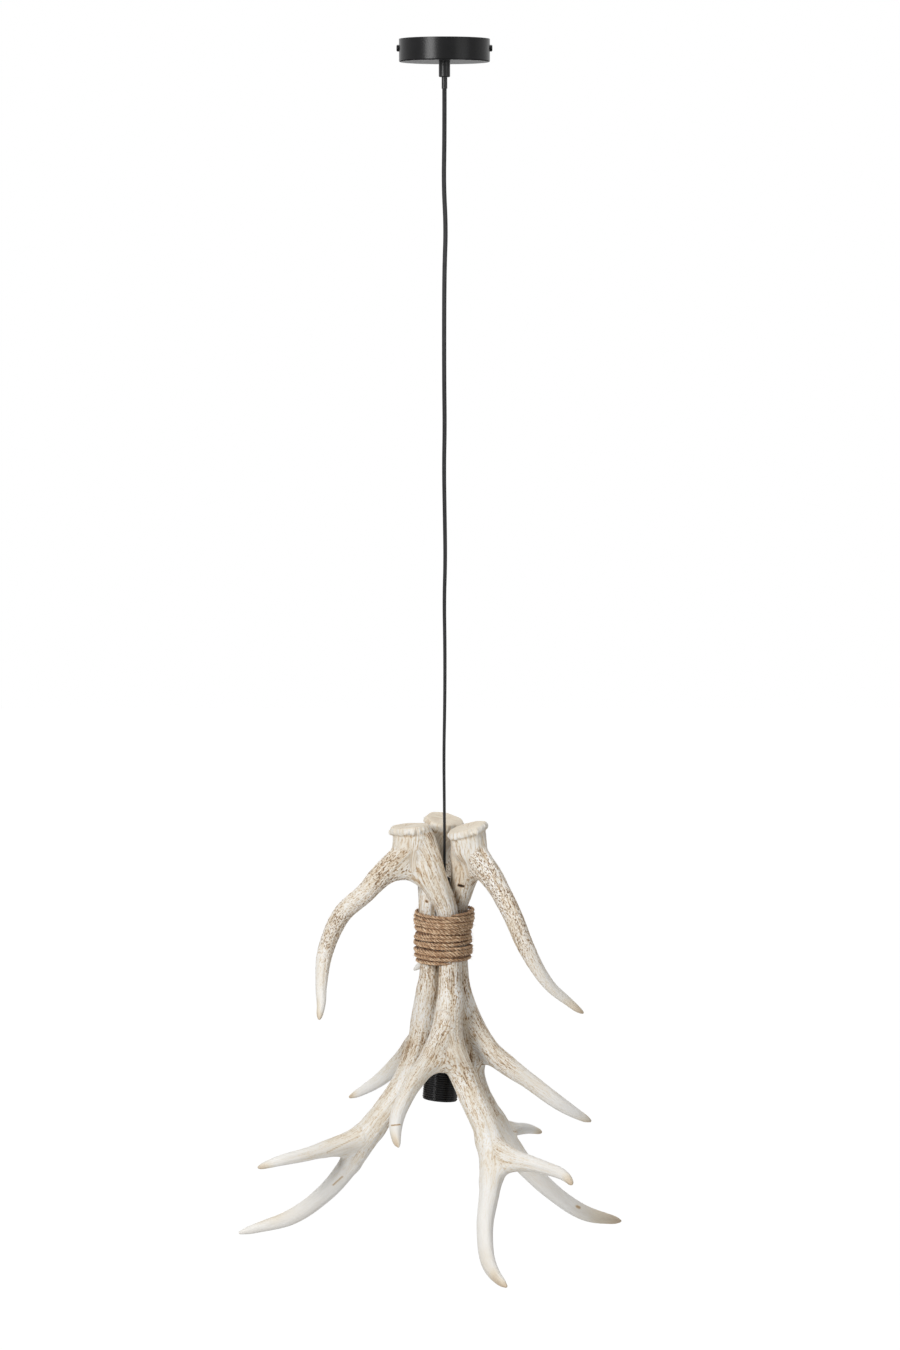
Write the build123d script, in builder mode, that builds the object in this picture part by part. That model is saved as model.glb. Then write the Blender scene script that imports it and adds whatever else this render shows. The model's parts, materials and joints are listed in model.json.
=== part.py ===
"""Antler chandelier: three cast antlers lashed round a threaded tube, hung on one flat flex.

Millimetres. The origin is the middle of the ceiling face, +Z up, so everything hangs below
z = 0. +X is to the right and -Y is towards whoever looks at the lamp from the front.
"""
from math import cos, pi, radians, sin, sqrt, tan
import os

from build123d import *

os.makedirs("parts", exist_ok=True)

# ---------------------------------------------------------------- driving dimensions
# Canopy and ceiling bracket
canopy_diameter = 100.0
canopy_height = 25.0
canopy_wall = 1.0
canopy_edge_radius = 1.4
strap_width = 14.0
strap_thickness = 1.5
strap_end_gap = 0.3            # between the strap's corners and the canopy wall
strap_ear_height = 15.0
slot_spacing = 68.0
slot_length = 14.0
slot_width = 5.0
mains_hole_diameter = 11.0
side_screw_drop = 10.0         # below the ceiling face
screw_diameter = 3.9           # canopy and beam screws
screw_clearance = 0.2          # on the radius, in every screw hole
side_screw_length = 8.0
pan_head_diameter = 7.4
pan_head_height = 2.7

# Terminal block in the canopy
block_length = 16.0
block_width = 16.0
block_height = 12.0
block_start = 8.5              # from the lamp axis to its near end
pole_pitch = 7.2
wire_hole_diameter = 3.2
clamp_screw_diameter = 3.0
clamp_screw_inset = 4.0
block_screw_diameter = 2.9

# Flat two-core flex
flex_width = 4.9
flex_thickness = 3.0
core_diameter = 2.2
core_pitch = 2.35
bend_share = 0.45              # of the shorter run beside a bend that its arc takes up
flex_bore_clearance = 0.25     # on the radius, in every bore that the flex passes

# Cord grip under the canopy
thread_diameter = 10.0         # the lamp thread, used on the grip's stem and the centre tube
thread_clearance = 0.15        # on the radius
stem_length = 7.5
grip_diameter = 12.5
grip_height = 16.5
grip_chamfer = 0.8
sleeve_diameter = 6.3
sleeve_length = 20.8
sleeve_pocket_depth = 8.5
sleeve_slit = 0.8
nut_across_flats = 14.0
nut_height = 3.0
grip_washer_diameter = 17.0
grip_washer_thickness = 1.0

# Heights down the lamp
bend_length = 14.0             # of flex that does the bending under the sleeve
tube_grip_top = -926.0
tube_grip_height = 22.0
tube_grip_diameter = 12.4
tube_grip_thread_depth = 12.0
binding_centre = -991.0
bottom_washer_top = -1081.0
bottom_washer_diameter = 22.0
bottom_washer_thickness = 2.0
holder_bend = -1114.5          # where the tube bends into the lampholder
holder_lean = 5.0              # degrees, the lampholder's foot swings to -X
seat_clearance = 0.3           # between a curved seat and what lies in it
tube_bore_diameter = 6.5
tube_bend_radius = 60.0
tube_entry = 13.0              # of tube past the bend, inside the lampholder's neck

# Lampholder, in its own frame: z = 0 at the bend, down is negative
neck_top = -2.0
neck_diameter = 16.0
neck_bottom = -12.0
cap_diameter = 38.8
cap_shoulder = -24.0
cap_bottom = -29.0
cap_wall = 1.7
barrel_diameter = 39.2         # over the crests of the shade thread
barrel_bottom = -61.5
barrel_bore_diameter = 32.4
barrel_spigot_height = 4.5
barrel_lip_height = 2.0
barrel_lip_bore = 28.8
insert_top = -22.0
insert_bottom = -35.5
bulb_bore_diameter = 26.6      # Edison screw 27
bulb_shell_wall = 0.5
bulb_shell_shoulder_bore = 30.0    # over the centre contact, above the thread
bulb_thread_top = -41.5
bulb_shell_bottom = -58.5
contact_width = 6.0
contact_thickness = 0.6
contact_drop = 4.5
terminal_offset = 9.5
terminal_head_diameter = 5.4
terminal_head_height = 1.6
terminal_screw_diameter = 3.0
terminal_screw_length = 7.0
terminal_hole_depth = 8.0
insert_notch = 3.0             # at its two sides, where it keys into the barrel
lock_screw_diameter = 2.9

# Jute binding
twine_diameter = 3.9
twine_pitch = 4.38
twine_turns = 14
twine_lobe_reach = 32.2        # of the twine's middle, over a beam
twine_hollow_reach = 28.4      # of the twine's middle, between two beams
twine_bulge = 1.0              # more at the top and bottom of the binding than at its waist
twine_lobe_turn = -8.5         # degrees from a beam's own azimuth to the lobe over it

# Antler casting: (x outwards, y sideways, z, half width, half depth) at each station, in the
# frame of one antler, whose beam leaves the lamp along +X
beam_stations = [
    (-2, -35, -873, 17.5, 17.5),
    (7.5, -23, -893, 15.5, 15.5),
    (14, -15, -923, 13.4, 13.4),
    (17, -4, -958, 12.8, 12.2),
    (17.6, -1.5, -1000, 13.8, 12.0),
    (18.4, -4, -1051, 14.6, 12.4),
    (27, -10, -1102, 15.0, 14.0),
    (50, 2, -1161, 14.8, 14.2),
    (85, 7.5, -1208, 15.4, 13.8),
    (114, -7, -1253, 11.8, 11.8),
    (146, -29.3, -1293, 8.6, 10.0),
    (190, -45.3, -1324, 6.9, 8.6),
    (217, -49.5, -1332.5, 5.6, 6.3),
    (235, -49.8, -1337.2, 4.0, 4.3),
    (244, -49.5, -1339.6, 1.6, 1.6),
]
brow_stations = [
    (1.5, -31, -879, 14.0, 14.0),
    (1.9, -48, -896, 13.2, 13.2),
    (-1.3, -69, -913, 11.8, 11.8),
    (-4.5, -90, -934, 11.2, 11.2),
    (-13.3, -115, -956, 10.5, 10.5),
    (-13.2, -136, -991, 9.2, 9.2),
    (7.2, -153, -1033, 6.4, 6.4),
    (26, -161.5, -1050, 5.0, 5.0),
    (36.5, -168, -1060, 3.4, 3.4),
    (40.8, -170.3, -1063.3, 1.3, 1.3),
]
first_tine_stations = [
    (20.5, -2, -1057, 9.0, 9.0),
    (27.5, -19.8, -1093, 11.3, 11.3),
    (37.6, -45.5, -1126, 10.6, 10.6),
    (56.5, -75, -1150.5, 9.3, 9.3),
    (81, -101, -1177, 7.9, 7.9),
    (99.5, -110, -1190, 5.7, 5.7),
    (111, -113.5, -1196.5, 3.8, 3.8),
    (117, -114.7, -1199.3, 1.4, 1.4),
]
second_tine_stations = [
    (86, 4, -1210, 9.5, 9.5),
    (106, 13, -1220, 10.8, 10.8),
    (128, 21.5, -1226, 9.4, 9.4),
    (158.6, 36.7, -1232, 7.2, 7.2),
    (191, 46.3, -1237, 5.6, 5.6),
    (203, 47, -1240.3, 4.2, 4.2),
    (210.5, 46.2, -1242.8, 2.6, 2.6),
    (213, 46, -1243.6, 1.2, 1.2),
]
brow_web_stations = [          # the flesh in the crook between brow tine and beam
    (-3, -78, -922, 7.0, 7.0),
    (1, -60, -914.5, 9.5, 9.5),
    (6, -40, -915, 10.5, 10.5),
    (12, -24, -927, 9.5, 9.5),
    (15.5, -12, -943, 7.0, 7.0),
]
first_web_stations = [         # the round arch between first tine and beam
    (54, -71, -1148, 6.5, 6.5),
    (46, -53, -1134, 8.5, 8.5),
    (41, -33, -1124.5, 9.5, 9.5),
    (42, -15, -1128, 9.5, 9.5),
    (48, -3, -1146, 8.0, 8.0),
]
second_web_stations = [        # and between second tine and beam
    (141, 28, -1230, 5.0, 5.0),
    (127, 17, -1231, 7.8, 7.8),
    (115, 6, -1236, 9.4, 9.4),
    (112, -6, -1252, 8.4, 8.4),
]
tip_rounding = 0.97            # radius of a tip's end, as a share of its last half width
burr_centre = (-2.8, -36.0, -868.5)
burr_diameter = 46.0
burr_thickness = 8.5
burr_dish = 1.2
neck_outline = [(17.5, -4), (15.5, -12), (11.5, -18), (0, -20)]  # (radius, height) under the burr
pearl_count = 13
pearl_diameter = 7.5
pearl_overhang = 0.42          # of a pearl's diameter stays inside the rim

# How each antler stands: turn about the lamp axis, lean about X and Y at the binding, lift
antler_places = {
    "antler_front": (-66.5, -0.6, -2.4, -1.6),
    "antler_left": (179.0, 1.9, -1.6, 4.0),
    "antler_right": (47.0, 0.0, 0.0, -2.4),
}
# Where each sawn burr face looks, as (x, y) for 1 upwards in the lamp's own frame, and how much
# higher than on the mould it is left
burr_faces = {
    "antler_front": (-0.07, -0.03, 4.5),
    "antler_left": (0.17, -0.24, -0.5),
    "antler_right": (-0.30, -0.07, 4.5),
}
beam_screw_height = -988.0
beam_screw_length = 38.0
beam_screw_head_diameter = 7.8
beam_screw_head_height = 2.2
beam_screw_sinking = 0.82      # where the head's face lies, as a share of the beam's half width

# The flex's route between bend and tube grip: sideways offset and height of each point.
# It hangs almost straight, with the small sets that its coil left in it.
flex_route = [
    (0.0, -112.0), (-0.9, -158.0), (1.6, -207.0), (0.0, -250.0), (-0.4, -312.0),
    (-0.3, -380.0), (0.3, -425.0), (-0.6, -470.0), (0.2, -520.0), (1.0, -572.0),
    (-0.4, -618.0), (0.5, -668.0), (0.4, -728.0), (-0.8, -790.0), (-0.2, -842.0),
    (0.0, -889.0),
]

# ---------------------------------------------------------------- values that follow
canopy_radius = canopy_diameter / 2
canopy_inner_radius = canopy_radius - canopy_wall
strap_half_length = sqrt((canopy_inner_radius - strap_end_gap) ** 2 - (strap_width / 2) ** 2)
screw_radius = screw_diameter / 2
screw_hole_radius = screw_radius + screw_clearance
thread_radius = thread_diameter / 2
thread_hole_radius = thread_radius + thread_clearance
flex_bore_radius = flex_width / 2 + flex_bore_clearance
core_radius = core_diameter / 2
canopy_floor = canopy_wall - canopy_height
stem_top = stem_length - canopy_height
grip_bottom = -canopy_height - grip_height
sleeve_top = grip_bottom + sleeve_pocket_depth - seat_clearance
sleeve_mouth = sleeve_top - sleeve_length
flex_bend_bottom = sleeve_mouth - bend_length
tube_top = tube_grip_top - tube_grip_height + tube_grip_thread_depth - seat_clearance
tube_grip_bottom = tube_grip_top - tube_grip_height
flex_end = tube_top + seat_clearance * 2


def save(part, name):
    """Names a finished piece and writes its file."""
    part.label = name
    export_step(part, f"parts/{name}.step")


def lathe(outline, plane=Plane.XY):
    """Turns a closed outline of (radius, height) points about the plane's normal."""
    profile = Plane(origin=plane.origin, x_dir=plane.x_dir, z_dir=-plane.y_dir)
    with BuildPart() as turned:
        with BuildSketch(profile):
            with BuildLine():
                Polyline(*outline, close=True)
            make_face()
        revolve(axis=Axis(plane.origin, plane.z_dir))
    return turned.part


def hex_nut(top, height, plane=Plane.XY):
    """A hexagon nut on the lamp thread, its top face at the given height."""
    with BuildPart() as nut:
        with BuildSketch(plane.offset(top - height)):
            RegularPolygon(nut_across_flats / 2, 6, major_radius=False)
            Circle(thread_hole_radius, mode=Mode.SUBTRACT)
        extrude(amount=height)
    return nut.part


def bend_radii(points):
    """The widest even bends that a route of straight runs leaves room for."""
    points = [Vector(*p) for p in points]
    runs = [b - a for a, b in zip(points, points[1:])]
    radii = []
    for before, after in zip(runs, runs[1:]):
        half_turn = radians(before.get_angle(after)) / 2
        radii.append(bend_share * min(before.length, after.length) / tan(half_turn))
    return radii


def core_along(points, name):
    """A round insulated core along straight runs joined by arcs."""
    radii = bend_radii(points)
    with BuildPart() as core:
        with BuildLine() as route:
            FilletPolyline(*points, radius=radii)
        with BuildSketch(Plane(origin=route.line @ 0, z_dir=route.line % 0)):
            Circle(core_radius)
        sweep()
    print(name, "radii", [round(radius, 1) for radius in radii])
    save(core.part, name)


# ---------------------------------------------------------------- ceiling bracket
with BuildPart() as bracket:
    with BuildSketch(Plane.XZ):
        with BuildLine():
            inner = strap_half_length - strap_thickness
            Polyline(
                (-strap_half_length, 0), (strap_half_length, 0),
                (strap_half_length, -strap_ear_height), (inner, -strap_ear_height),
                (inner, -strap_thickness), (-inner, -strap_thickness),
                (-inner, -strap_ear_height), (-strap_half_length, -strap_ear_height),
                close=True,
            )
        make_face()
    extrude(amount=strap_width / 2, both=True)
    folds = bracket.edges().filter_by(Axis.Y).group_by(Axis.Z)[-1]
    fillet(folds, radius=strap_thickness)
    with BuildSketch(Plane.XY):
        with Locations((-slot_spacing / 2, 0), (slot_spacing / 2, 0)):
            SlotOverall(slot_length, slot_width)
        Circle(mains_hole_diameter / 2)
    extrude(amount=-strap_thickness, mode=Mode.SUBTRACT)
    with BuildSketch(Plane.XY):
        with Locations((block_start + block_length / 2, 0)):
            Circle(block_screw_diameter / 2 + screw_clearance)
    extrude(amount=-strap_thickness, mode=Mode.SUBTRACT)
    with BuildSketch(Plane.YZ):
        with Locations((0, -side_screw_drop)):
            Circle(screw_hole_radius)
    extrude(amount=canopy_radius, both=True, mode=Mode.SUBTRACT)
save(bracket.part, "ceiling_bracket")

# ---------------------------------------------------------------- canopy
with BuildPart() as canopy:
    add(lathe([
        (canopy_radius, 0), (canopy_radius, -canopy_height),
        (thread_hole_radius, -canopy_height), (thread_hole_radius, canopy_floor),
        (canopy_inner_radius, canopy_floor), (canopy_inner_radius, 0),
    ]))
    rim = canopy.edges().filter_by(GeomType.CIRCLE).group_by(Axis.Z)[0]
    fillet(rim.sort_by(SortBy.RADIUS)[-1], radius=canopy_edge_radius)
    with BuildSketch(Plane.YZ):
        with Locations((0, -side_screw_drop)):
            Circle(screw_hole_radius)
    extrude(amount=canopy_radius, both=True, mode=Mode.SUBTRACT)
save(canopy.part, "canopy_cup")

with BuildPart() as side_screws:
    for side in (1, -1):
        with BuildSketch(Plane(origin=(side * canopy_radius, 0, -side_screw_drop), z_dir=(side, 0, 0))):
            Circle(screw_radius)
        extrude(amount=-side_screw_length)
        with BuildSketch(Plane(origin=(side * canopy_radius, 0, -side_screw_drop), z_dir=(side, 0, 0))):
            Circle(pan_head_diameter / 2)
        extrude(amount=pan_head_height)
    heads = side_screws.edges().filter_by(GeomType.CIRCLE).sort_by(Axis.X)
    fillet([heads[0], heads[-1]], radius=pan_head_height * 0.5)
save(side_screws.part, "canopy_screws")

# ---------------------------------------------------------------- terminal block
block_top = -strap_thickness
block_bottom = block_top - block_height
wire_height = (block_top + block_bottom) / 2
block_middle = block_start + block_length / 2
clamp_places = [
    (x, side * pole_pitch / 2)
    for x in (block_start + clamp_screw_inset, block_start + block_length - clamp_screw_inset)
    for side in (1, -1)
]
with BuildPart() as block:
    with BuildSketch(Plane.XY.offset(block_bottom)):
        with Locations((block_middle, 0)):
            RectangleRounded(block_length, block_width, 1.5)
    extrude(amount=block_height)
    with BuildSketch(Plane.YZ.offset(block_start)):
        with Locations((-pole_pitch / 2, wire_height), (pole_pitch / 2, wire_height)):
            Circle(wire_hole_diameter / 2)
    extrude(amount=block_length, mode=Mode.SUBTRACT)
    with BuildSketch(Plane.XY.offset(block_bottom)):
        with Locations(*clamp_places):
            Circle(clamp_screw_diameter / 2 + screw_clearance)
    extrude(amount=block_height / 2 - core_radius, mode=Mode.SUBTRACT)
    with BuildSketch(Plane.XY.offset(block_bottom)):
        with Locations((block_middle, 0)):
            Circle(block_screw_diameter / 2 + screw_clearance)
    extrude(amount=block_height, mode=Mode.SUBTRACT)
save(block.part, "terminal_block")

with BuildPart() as clamp_screws:
    with BuildSketch(Plane.XY.offset(wire_height - core_radius - seat_clearance)):
        with Locations(*clamp_places):
            Circle(clamp_screw_diameter / 2)
    extrude(amount=-(block_height / 2 - core_radius - 2 * seat_clearance))
save(clamp_screws.part, "terminal_screws")

with BuildPart() as block_screw:
    with BuildSketch(Plane.XY.offset(block_bottom)):
        with Locations((block_middle, 0)):
            Circle(block_screw_diameter / 2)
    extrude(amount=block_height + strap_thickness - seat_clearance)
    with BuildSketch(Plane.XY.offset(block_bottom)):
        with Locations((block_middle, 0)):
            Circle(block_screw_diameter)
    extrude(amount=-block_screw_diameter * 0.7)
save(block_screw.part, "block_screw")

# ---------------------------------------------------------------- cord grip under the canopy
grip = lathe([
    (thread_radius, stem_top), (thread_radius, -canopy_height),
    (grip_diameter / 2, -canopy_height), (grip_diameter / 2, grip_bottom + grip_chamfer),
    (grip_diameter / 2 - grip_chamfer, grip_bottom), (sleeve_diameter / 2 + thread_clearance, grip_bottom),
    (sleeve_diameter / 2 + thread_clearance, grip_bottom + sleeve_pocket_depth),
    (flex_bore_radius, grip_bottom + sleeve_pocket_depth), (flex_bore_radius, stem_top),
])
save(grip, "grip_body")

with BuildPart() as sleeve:
    with BuildSketch(Plane.XY.offset(sleeve_mouth)):
        Circle(sleeve_diameter / 2)
        Circle(flex_bore_radius, mode=Mode.SUBTRACT)
        with Locations((0, sleeve_diameter / 2)):
            Rectangle(sleeve_slit, sleeve_diameter, mode=Mode.SUBTRACT)
    extrude(amount=sleeve_length)
save(sleeve.part, "grip_sleeve")

with BuildPart() as grip_washer:
    with BuildSketch(Plane.XY.offset(canopy_floor)):
        Circle(grip_washer_diameter / 2)
        Circle(thread_hole_radius, mode=Mode.SUBTRACT)
    extrude(amount=grip_washer_thickness)
save(grip_washer.part, "grip_washer")
save(hex_nut(canopy_floor + grip_washer_thickness + nut_height, nut_height), "grip_locknut")

# ---------------------------------------------------------------- flex inside the canopy
tail_top = stem_top + 2.0
with BuildPart() as tail:
    with BuildSketch(Plane.XY.offset(sleeve_mouth)):
        SlotOverall(flex_width, flex_thickness)
    extrude(amount=tail_top - sleeve_mouth)
save(tail.part, "flex_tail")

core_rise = {"line_core": (-1, -6.5), "neutral_core": (1, -10.5)}
for name, (side, height) in core_rise.items():
    start = side * core_pitch / 2
    pole = side * pole_pitch / 2
    core_along([
        (start, 0, tail_top), (start, 0, height), (block_start - core_diameter, pole, wire_height),
        (block_start + clamp_screw_inset + 1, pole, wire_height),
    ], name)

# ---------------------------------------------------------------- the hanging flex
with BuildPart() as bend:
    with BuildSketch(Plane.XY.offset(flex_bend_bottom)):
        SlotOverall(flex_width, flex_thickness)
    extrude(amount=bend_length)
save(bend.part, "flex_bend")

flex_points = [(0, 0, flex_bend_bottom), *((x, 0, z) for x, z in flex_route), (0, 0, flex_end)]
flex_radii = bend_radii(flex_points)
with BuildPart() as flex:
    with BuildLine() as flex_path:
        FilletPolyline(*flex_points, radius=flex_radii)
    with BuildSketch(Plane(origin=flex_path.line @ 0, x_dir=(1, 0, 0), z_dir=flex_path.line % 0)):
        SlotOverall(flex_width, flex_thickness)
    sweep()
save(flex.part, "flex_cord")
flex_section = (flex_width - flex_thickness) * flex_thickness + pi * flex_thickness**2 / 4
print("flex radii", [round(radius) for radius in flex_radii])
flex_length = sum(edge.length for edge in flex_path.edges())
print("flex length", round(flex_length, 1), "volume against section x length",
      round(flex.part.volume / (flex_section * flex_length), 4))


# ---------------------------------------------------------------- antler casting
def grow(stations, across):
    """Lofts one branch through ovals that stand square to it, with a round tip.

    The ovals' half widths lie as near to the direction across as they can.
    """
    middles = [Vector(x, y, z) for x, y, z, _, _ in stations]
    with BuildPart() as branch:
        for i, (_, _, _, half_width, half_depth) in enumerate(stations):
            along = (middles[min(i + 1, len(middles) - 1)] - middles[max(i - 1, 0)]).normalized()
            side = across - along * across.dot(along)
            with BuildSketch(Plane(origin=middles[i], x_dir=side, z_dir=along)):
                Ellipse(half_width, half_depth)
        loft()
        with Locations(middles[-1]):
            Sphere(tip_rounding * stations[-1][3])
    return branch.part


outwards, sideways = Vector(1, 0, 0), Vector(0, 1, 0)
with BuildPart() as casting:
    add(grow(beam_stations, sideways))
    add(grow(brow_stations, outwards))
    add(grow(brow_web_stations, outwards))
    add(grow(first_tine_stations, outwards))
    add(grow(first_web_stations, sideways))
    add(grow(second_tine_stations, sideways))
    add(grow(second_web_stations, sideways))
print("casting volume", round(casting.part.volume), "valid", casting.part.is_valid)

# What the beams are filed to fit: the tube grip, the tube and the bottom washer
bed_radius = tube_grip_diameter / 2 + seat_clearance
groove_radius = thread_radius + seat_clearance
washer_seat_radius = bottom_washer_diameter / 2 + seat_clearance
beds = lathe([
    (0, tube_grip_top + 40), (bed_radius, tube_grip_top + 40), (bed_radius, tube_grip_bottom),
    (groove_radius, tube_grip_bottom), (groove_radius, bottom_washer_top),
    (washer_seat_radius, bottom_washer_top), (washer_seat_radius, holder_bend),
    (0, holder_bend),
])


def placed(name):
    """Where an antler stands: turned about the axis, then leant at the binding and lifted."""
    turn, lean_x, lean_y, lift = antler_places[name]
    at_binding = Location((0, 0, binding_centre + lift), (lean_x, lean_y, 0))
    return at_binding * Location((0, 0, -binding_centre), (0, 0, turn))


def burr(plane):
    """The thick plate at the root, with its dished face, a row of pearls and the neck below."""
    radius = burr_diameter / 2
    with BuildPart() as made:
        add(lathe([
            (0, -burr_dish), (radius * 0.8, 0), (radius - 2, -0.5),
            (radius, -burr_thickness * 0.4), (radius - 1.5, -burr_thickness * 0.75),
            (radius - 5, -burr_thickness), *((r, z - burr_thickness) for r, z in neck_outline),
        ], plane))
        with Locations(plane.offset(-burr_thickness / 2)):
            with PolarLocations(radius - pearl_diameter * pearl_overhang, pearl_count):
                Sphere(pearl_diameter / 2)
    return made.part


def sawn_off(plane):
    """What the saw takes away over a burr's dished face."""
    return lathe([
        (0, -burr_dish), (burr_diameter * 0.4, 0), (burr_diameter, 0),
        (burr_diameter, burr_diameter), (0, burr_diameter),
    ], plane)


def beam_middle(name, height):
    """The middle of an antler's beam at a height between its fourth and sixth stations."""
    low = next(s for s in beam_stations if s[2] <= height)
    high = beam_stations[beam_stations.index(low) - 1]
    share = (high[2] - height) / (high[2] - low[2])
    local = Vector(*(h + (l - h) * share for h, l in zip(high[:3], low[:3])))
    return (placed(name) * Location(local)).position


screw_lines = {}
names = list(antler_places)
for name, neighbour in zip(names, names[1:] + names[:1]):
    start, end = beam_middle(name, beam_screw_height), beam_middle(neighbour, beam_screw_height)
    along = (end - start).normalized()
    head = start - along * beam_stations[4][3] * beam_screw_sinking
    screw_lines[name] = Plane(origin=head, z_dir=along)

for name in names:
    face_x, face_y, rise = burr_faces[name]
    burr_place = (placed(name) * Location(burr_centre)).position + Vector(0, 0, rise)
    burr_plane = Plane(origin=burr_place, z_dir=(face_x, face_y, 1))
    with BuildPart() as antler:
        add(placed(name) * casting.part)
        add(burr(burr_plane))
        add(sawn_off(burr_plane), mode=Mode.SUBTRACT)
        add(beds, mode=Mode.SUBTRACT)
        for line in screw_lines.values():
            with BuildSketch(line):
                Circle(screw_hole_radius)
            extrude(amount=beam_screw_length + 1, mode=Mode.SUBTRACT)
        with BuildSketch(screw_lines[name]):
            Circle(beam_screw_head_diameter / 2 + screw_clearance)
        extrude(amount=-beam_screw_head_diameter, mode=Mode.SUBTRACT)
        with BuildSketch(screw_lines[name]):
            Circle(beam_screw_head_diameter / 2 + screw_clearance)
        with BuildSketch(screw_lines[name].offset(beam_screw_head_height)):
            Circle(screw_hole_radius)
        loft(mode=Mode.SUBTRACT)
    print(name, "volume", round(antler.part.volume), "solids", len(antler.solids()))
    save(antler.part, name)

with BuildPart() as beam_screws:
    for line in screw_lines.values():
        with BuildSketch(line):
            Circle(beam_screw_head_diameter / 2)
        with BuildSketch(line.offset(beam_screw_head_height)):
            Circle(screw_radius)
        loft()
        with BuildSketch(line.offset(beam_screw_head_height)):
            Circle(screw_radius)
        extrude(amount=beam_screw_length - beam_screw_head_height)
save(beam_screws.part, "beam_screws")

# ---------------------------------------------------------------- centre tube and its fittings
lean = radians(holder_lean)
holder = Plane(origin=(0, 0, holder_bend), x_dir=(cos(lean), 0, -sin(lean)), z_dir=(sin(lean), 0, cos(lean)))
tube_end = holder.from_local_coords(Vector(0, 0, -tube_entry))
with BuildPart() as tube:
    with BuildLine() as tube_path:
        FilletPolyline((0, 0, tube_top), (0, 0, holder_bend), tube_end, radius=tube_bend_radius)
    with BuildSketch(Plane.XY.offset(tube_top)):
        Circle(thread_radius)
        Circle(tube_bore_diameter / 2, mode=Mode.SUBTRACT)
    sweep()
save(tube.part, "centre_tube")

grip_screw_height = (tube_grip_top + tube_top) / 2 + 2
tube_grip_radius = tube_grip_diameter / 2
lock_screw_radius = lock_screw_diameter / 2
grip_screw_plane = Plane(origin=(0, tube_grip_radius, grip_screw_height), z_dir=(0, 1, 0))
with BuildPart() as tube_grip:
    add(lathe([
        (flex_bore_radius, tube_grip_top), (tube_grip_radius - 1, tube_grip_top),
        (tube_grip_radius, tube_grip_top - 1), (tube_grip_radius, tube_grip_bottom),
        (thread_hole_radius, tube_grip_bottom),
        (thread_hole_radius, tube_grip_bottom + tube_grip_thread_depth),
        (flex_bore_radius, tube_grip_bottom + tube_grip_thread_depth),
    ]))
    with BuildSketch(grip_screw_plane):
        Circle(lock_screw_radius + thread_clearance)
    extrude(amount=-tube_grip_radius, mode=Mode.SUBTRACT)
save(tube_grip.part, "tube_grip")

with BuildPart() as grip_screw:
    with BuildSketch(grip_screw_plane):
        Circle(lock_screw_radius)
    extrude(amount=-(tube_grip_radius - flex_bore_radius))
save(grip_screw.part, "tube_grip_screw")

with BuildPart() as bottom_washer:
    with BuildSketch(Plane.XY.offset(bottom_washer_top - bottom_washer_thickness)):
        Circle(bottom_washer_diameter / 2)
        Circle(thread_hole_radius, mode=Mode.SUBTRACT)
    extrude(amount=bottom_washer_thickness)
save(bottom_washer.part, "bottom_washer")
save(hex_nut(bottom_washer_top - bottom_washer_thickness, nut_height + 1), "bottom_nut")

# The flex's last stretch, from the tube grip down the tube into the lampholder
inner_top = flex_end - seat_clearance
inner_tip = -tube_entry - 1.0
inner_end = holder.from_local_coords(Vector(0, 0, inner_tip))
with BuildPart() as inner_flex:
    with BuildLine() as inner_path:
        FilletPolyline((0, 0, inner_top), (0, 0, holder_bend), inner_end, radius=tube_bend_radius)
    with BuildSketch(Plane.XY.offset(inner_top)):
        SlotOverall(flex_width, flex_thickness)
    sweep()
save(inner_flex.part, "flex_inner")

# ---------------------------------------------------------------- lampholder
cap_radius = cap_diameter / 2
cap_inner_radius = cap_radius - cap_wall
neck_radius = neck_diameter / 2
barrel_radius = barrel_diameter / 2
barrel_bore_radius = barrel_bore_diameter / 2
spigot_radius = cap_inner_radius - thread_clearance
holder_profile = Plane(origin=holder.origin, x_dir=holder.x_dir, z_dir=-holder.y_dir)
holder_axis = Axis(holder.origin, holder.z_dir)
lock_plane = Plane(
    origin=holder.from_local_coords(Vector(0, neck_radius, (neck_top + neck_bottom) / 2)),
    z_dir=holder.y_dir,
)
with BuildPart() as cap:
    with BuildSketch(holder_profile):
        with BuildLine():
            Polyline((neck_radius, neck_bottom), (neck_radius, neck_top),
                     (thread_hole_radius, neck_top), (thread_hole_radius, neck_bottom - cap_wall))
            cap_roof = neck_bottom - cap_wall
            TangentArc((thread_hole_radius, cap_roof), (cap_inner_radius, cap_shoulder), tangent=(1, -0.12))
            Polyline((cap_inner_radius, cap_shoulder), (cap_inner_radius, cap_bottom),
                     (cap_radius, cap_bottom), (cap_radius, cap_shoulder))
            TangentArc((neck_radius, neck_bottom), (cap_radius, cap_shoulder), tangent=(1, -0.12))
        make_face()
    revolve(axis=holder_axis)
    with BuildSketch(lock_plane):
        Circle(lock_screw_radius + thread_clearance)
    extrude(amount=-neck_radius, mode=Mode.SUBTRACT)
save(cap.part, "holder_cap")

with BuildPart() as lock_screw:
    with BuildSketch(lock_plane):
        Circle(lock_screw_radius)
    extrude(amount=-(neck_radius - thread_hole_radius))
save(lock_screw.part, "cap_lock_screw")

spigot_top = cap_bottom + barrel_spigot_height
shoulder = cap_bottom - seat_clearance
save(lathe([
    (barrel_bore_radius, spigot_top), (spigot_radius, spigot_top), (spigot_radius, shoulder),
    (barrel_radius, shoulder), (barrel_radius, barrel_bottom + 1),
    (barrel_radius - 1, barrel_bottom), (barrel_lip_bore / 2, barrel_bottom),
    (barrel_lip_bore / 2, barrel_bottom + barrel_lip_height),
    (barrel_bore_radius, barrel_bottom + barrel_lip_height),
], holder), "holder_barrel")

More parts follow.
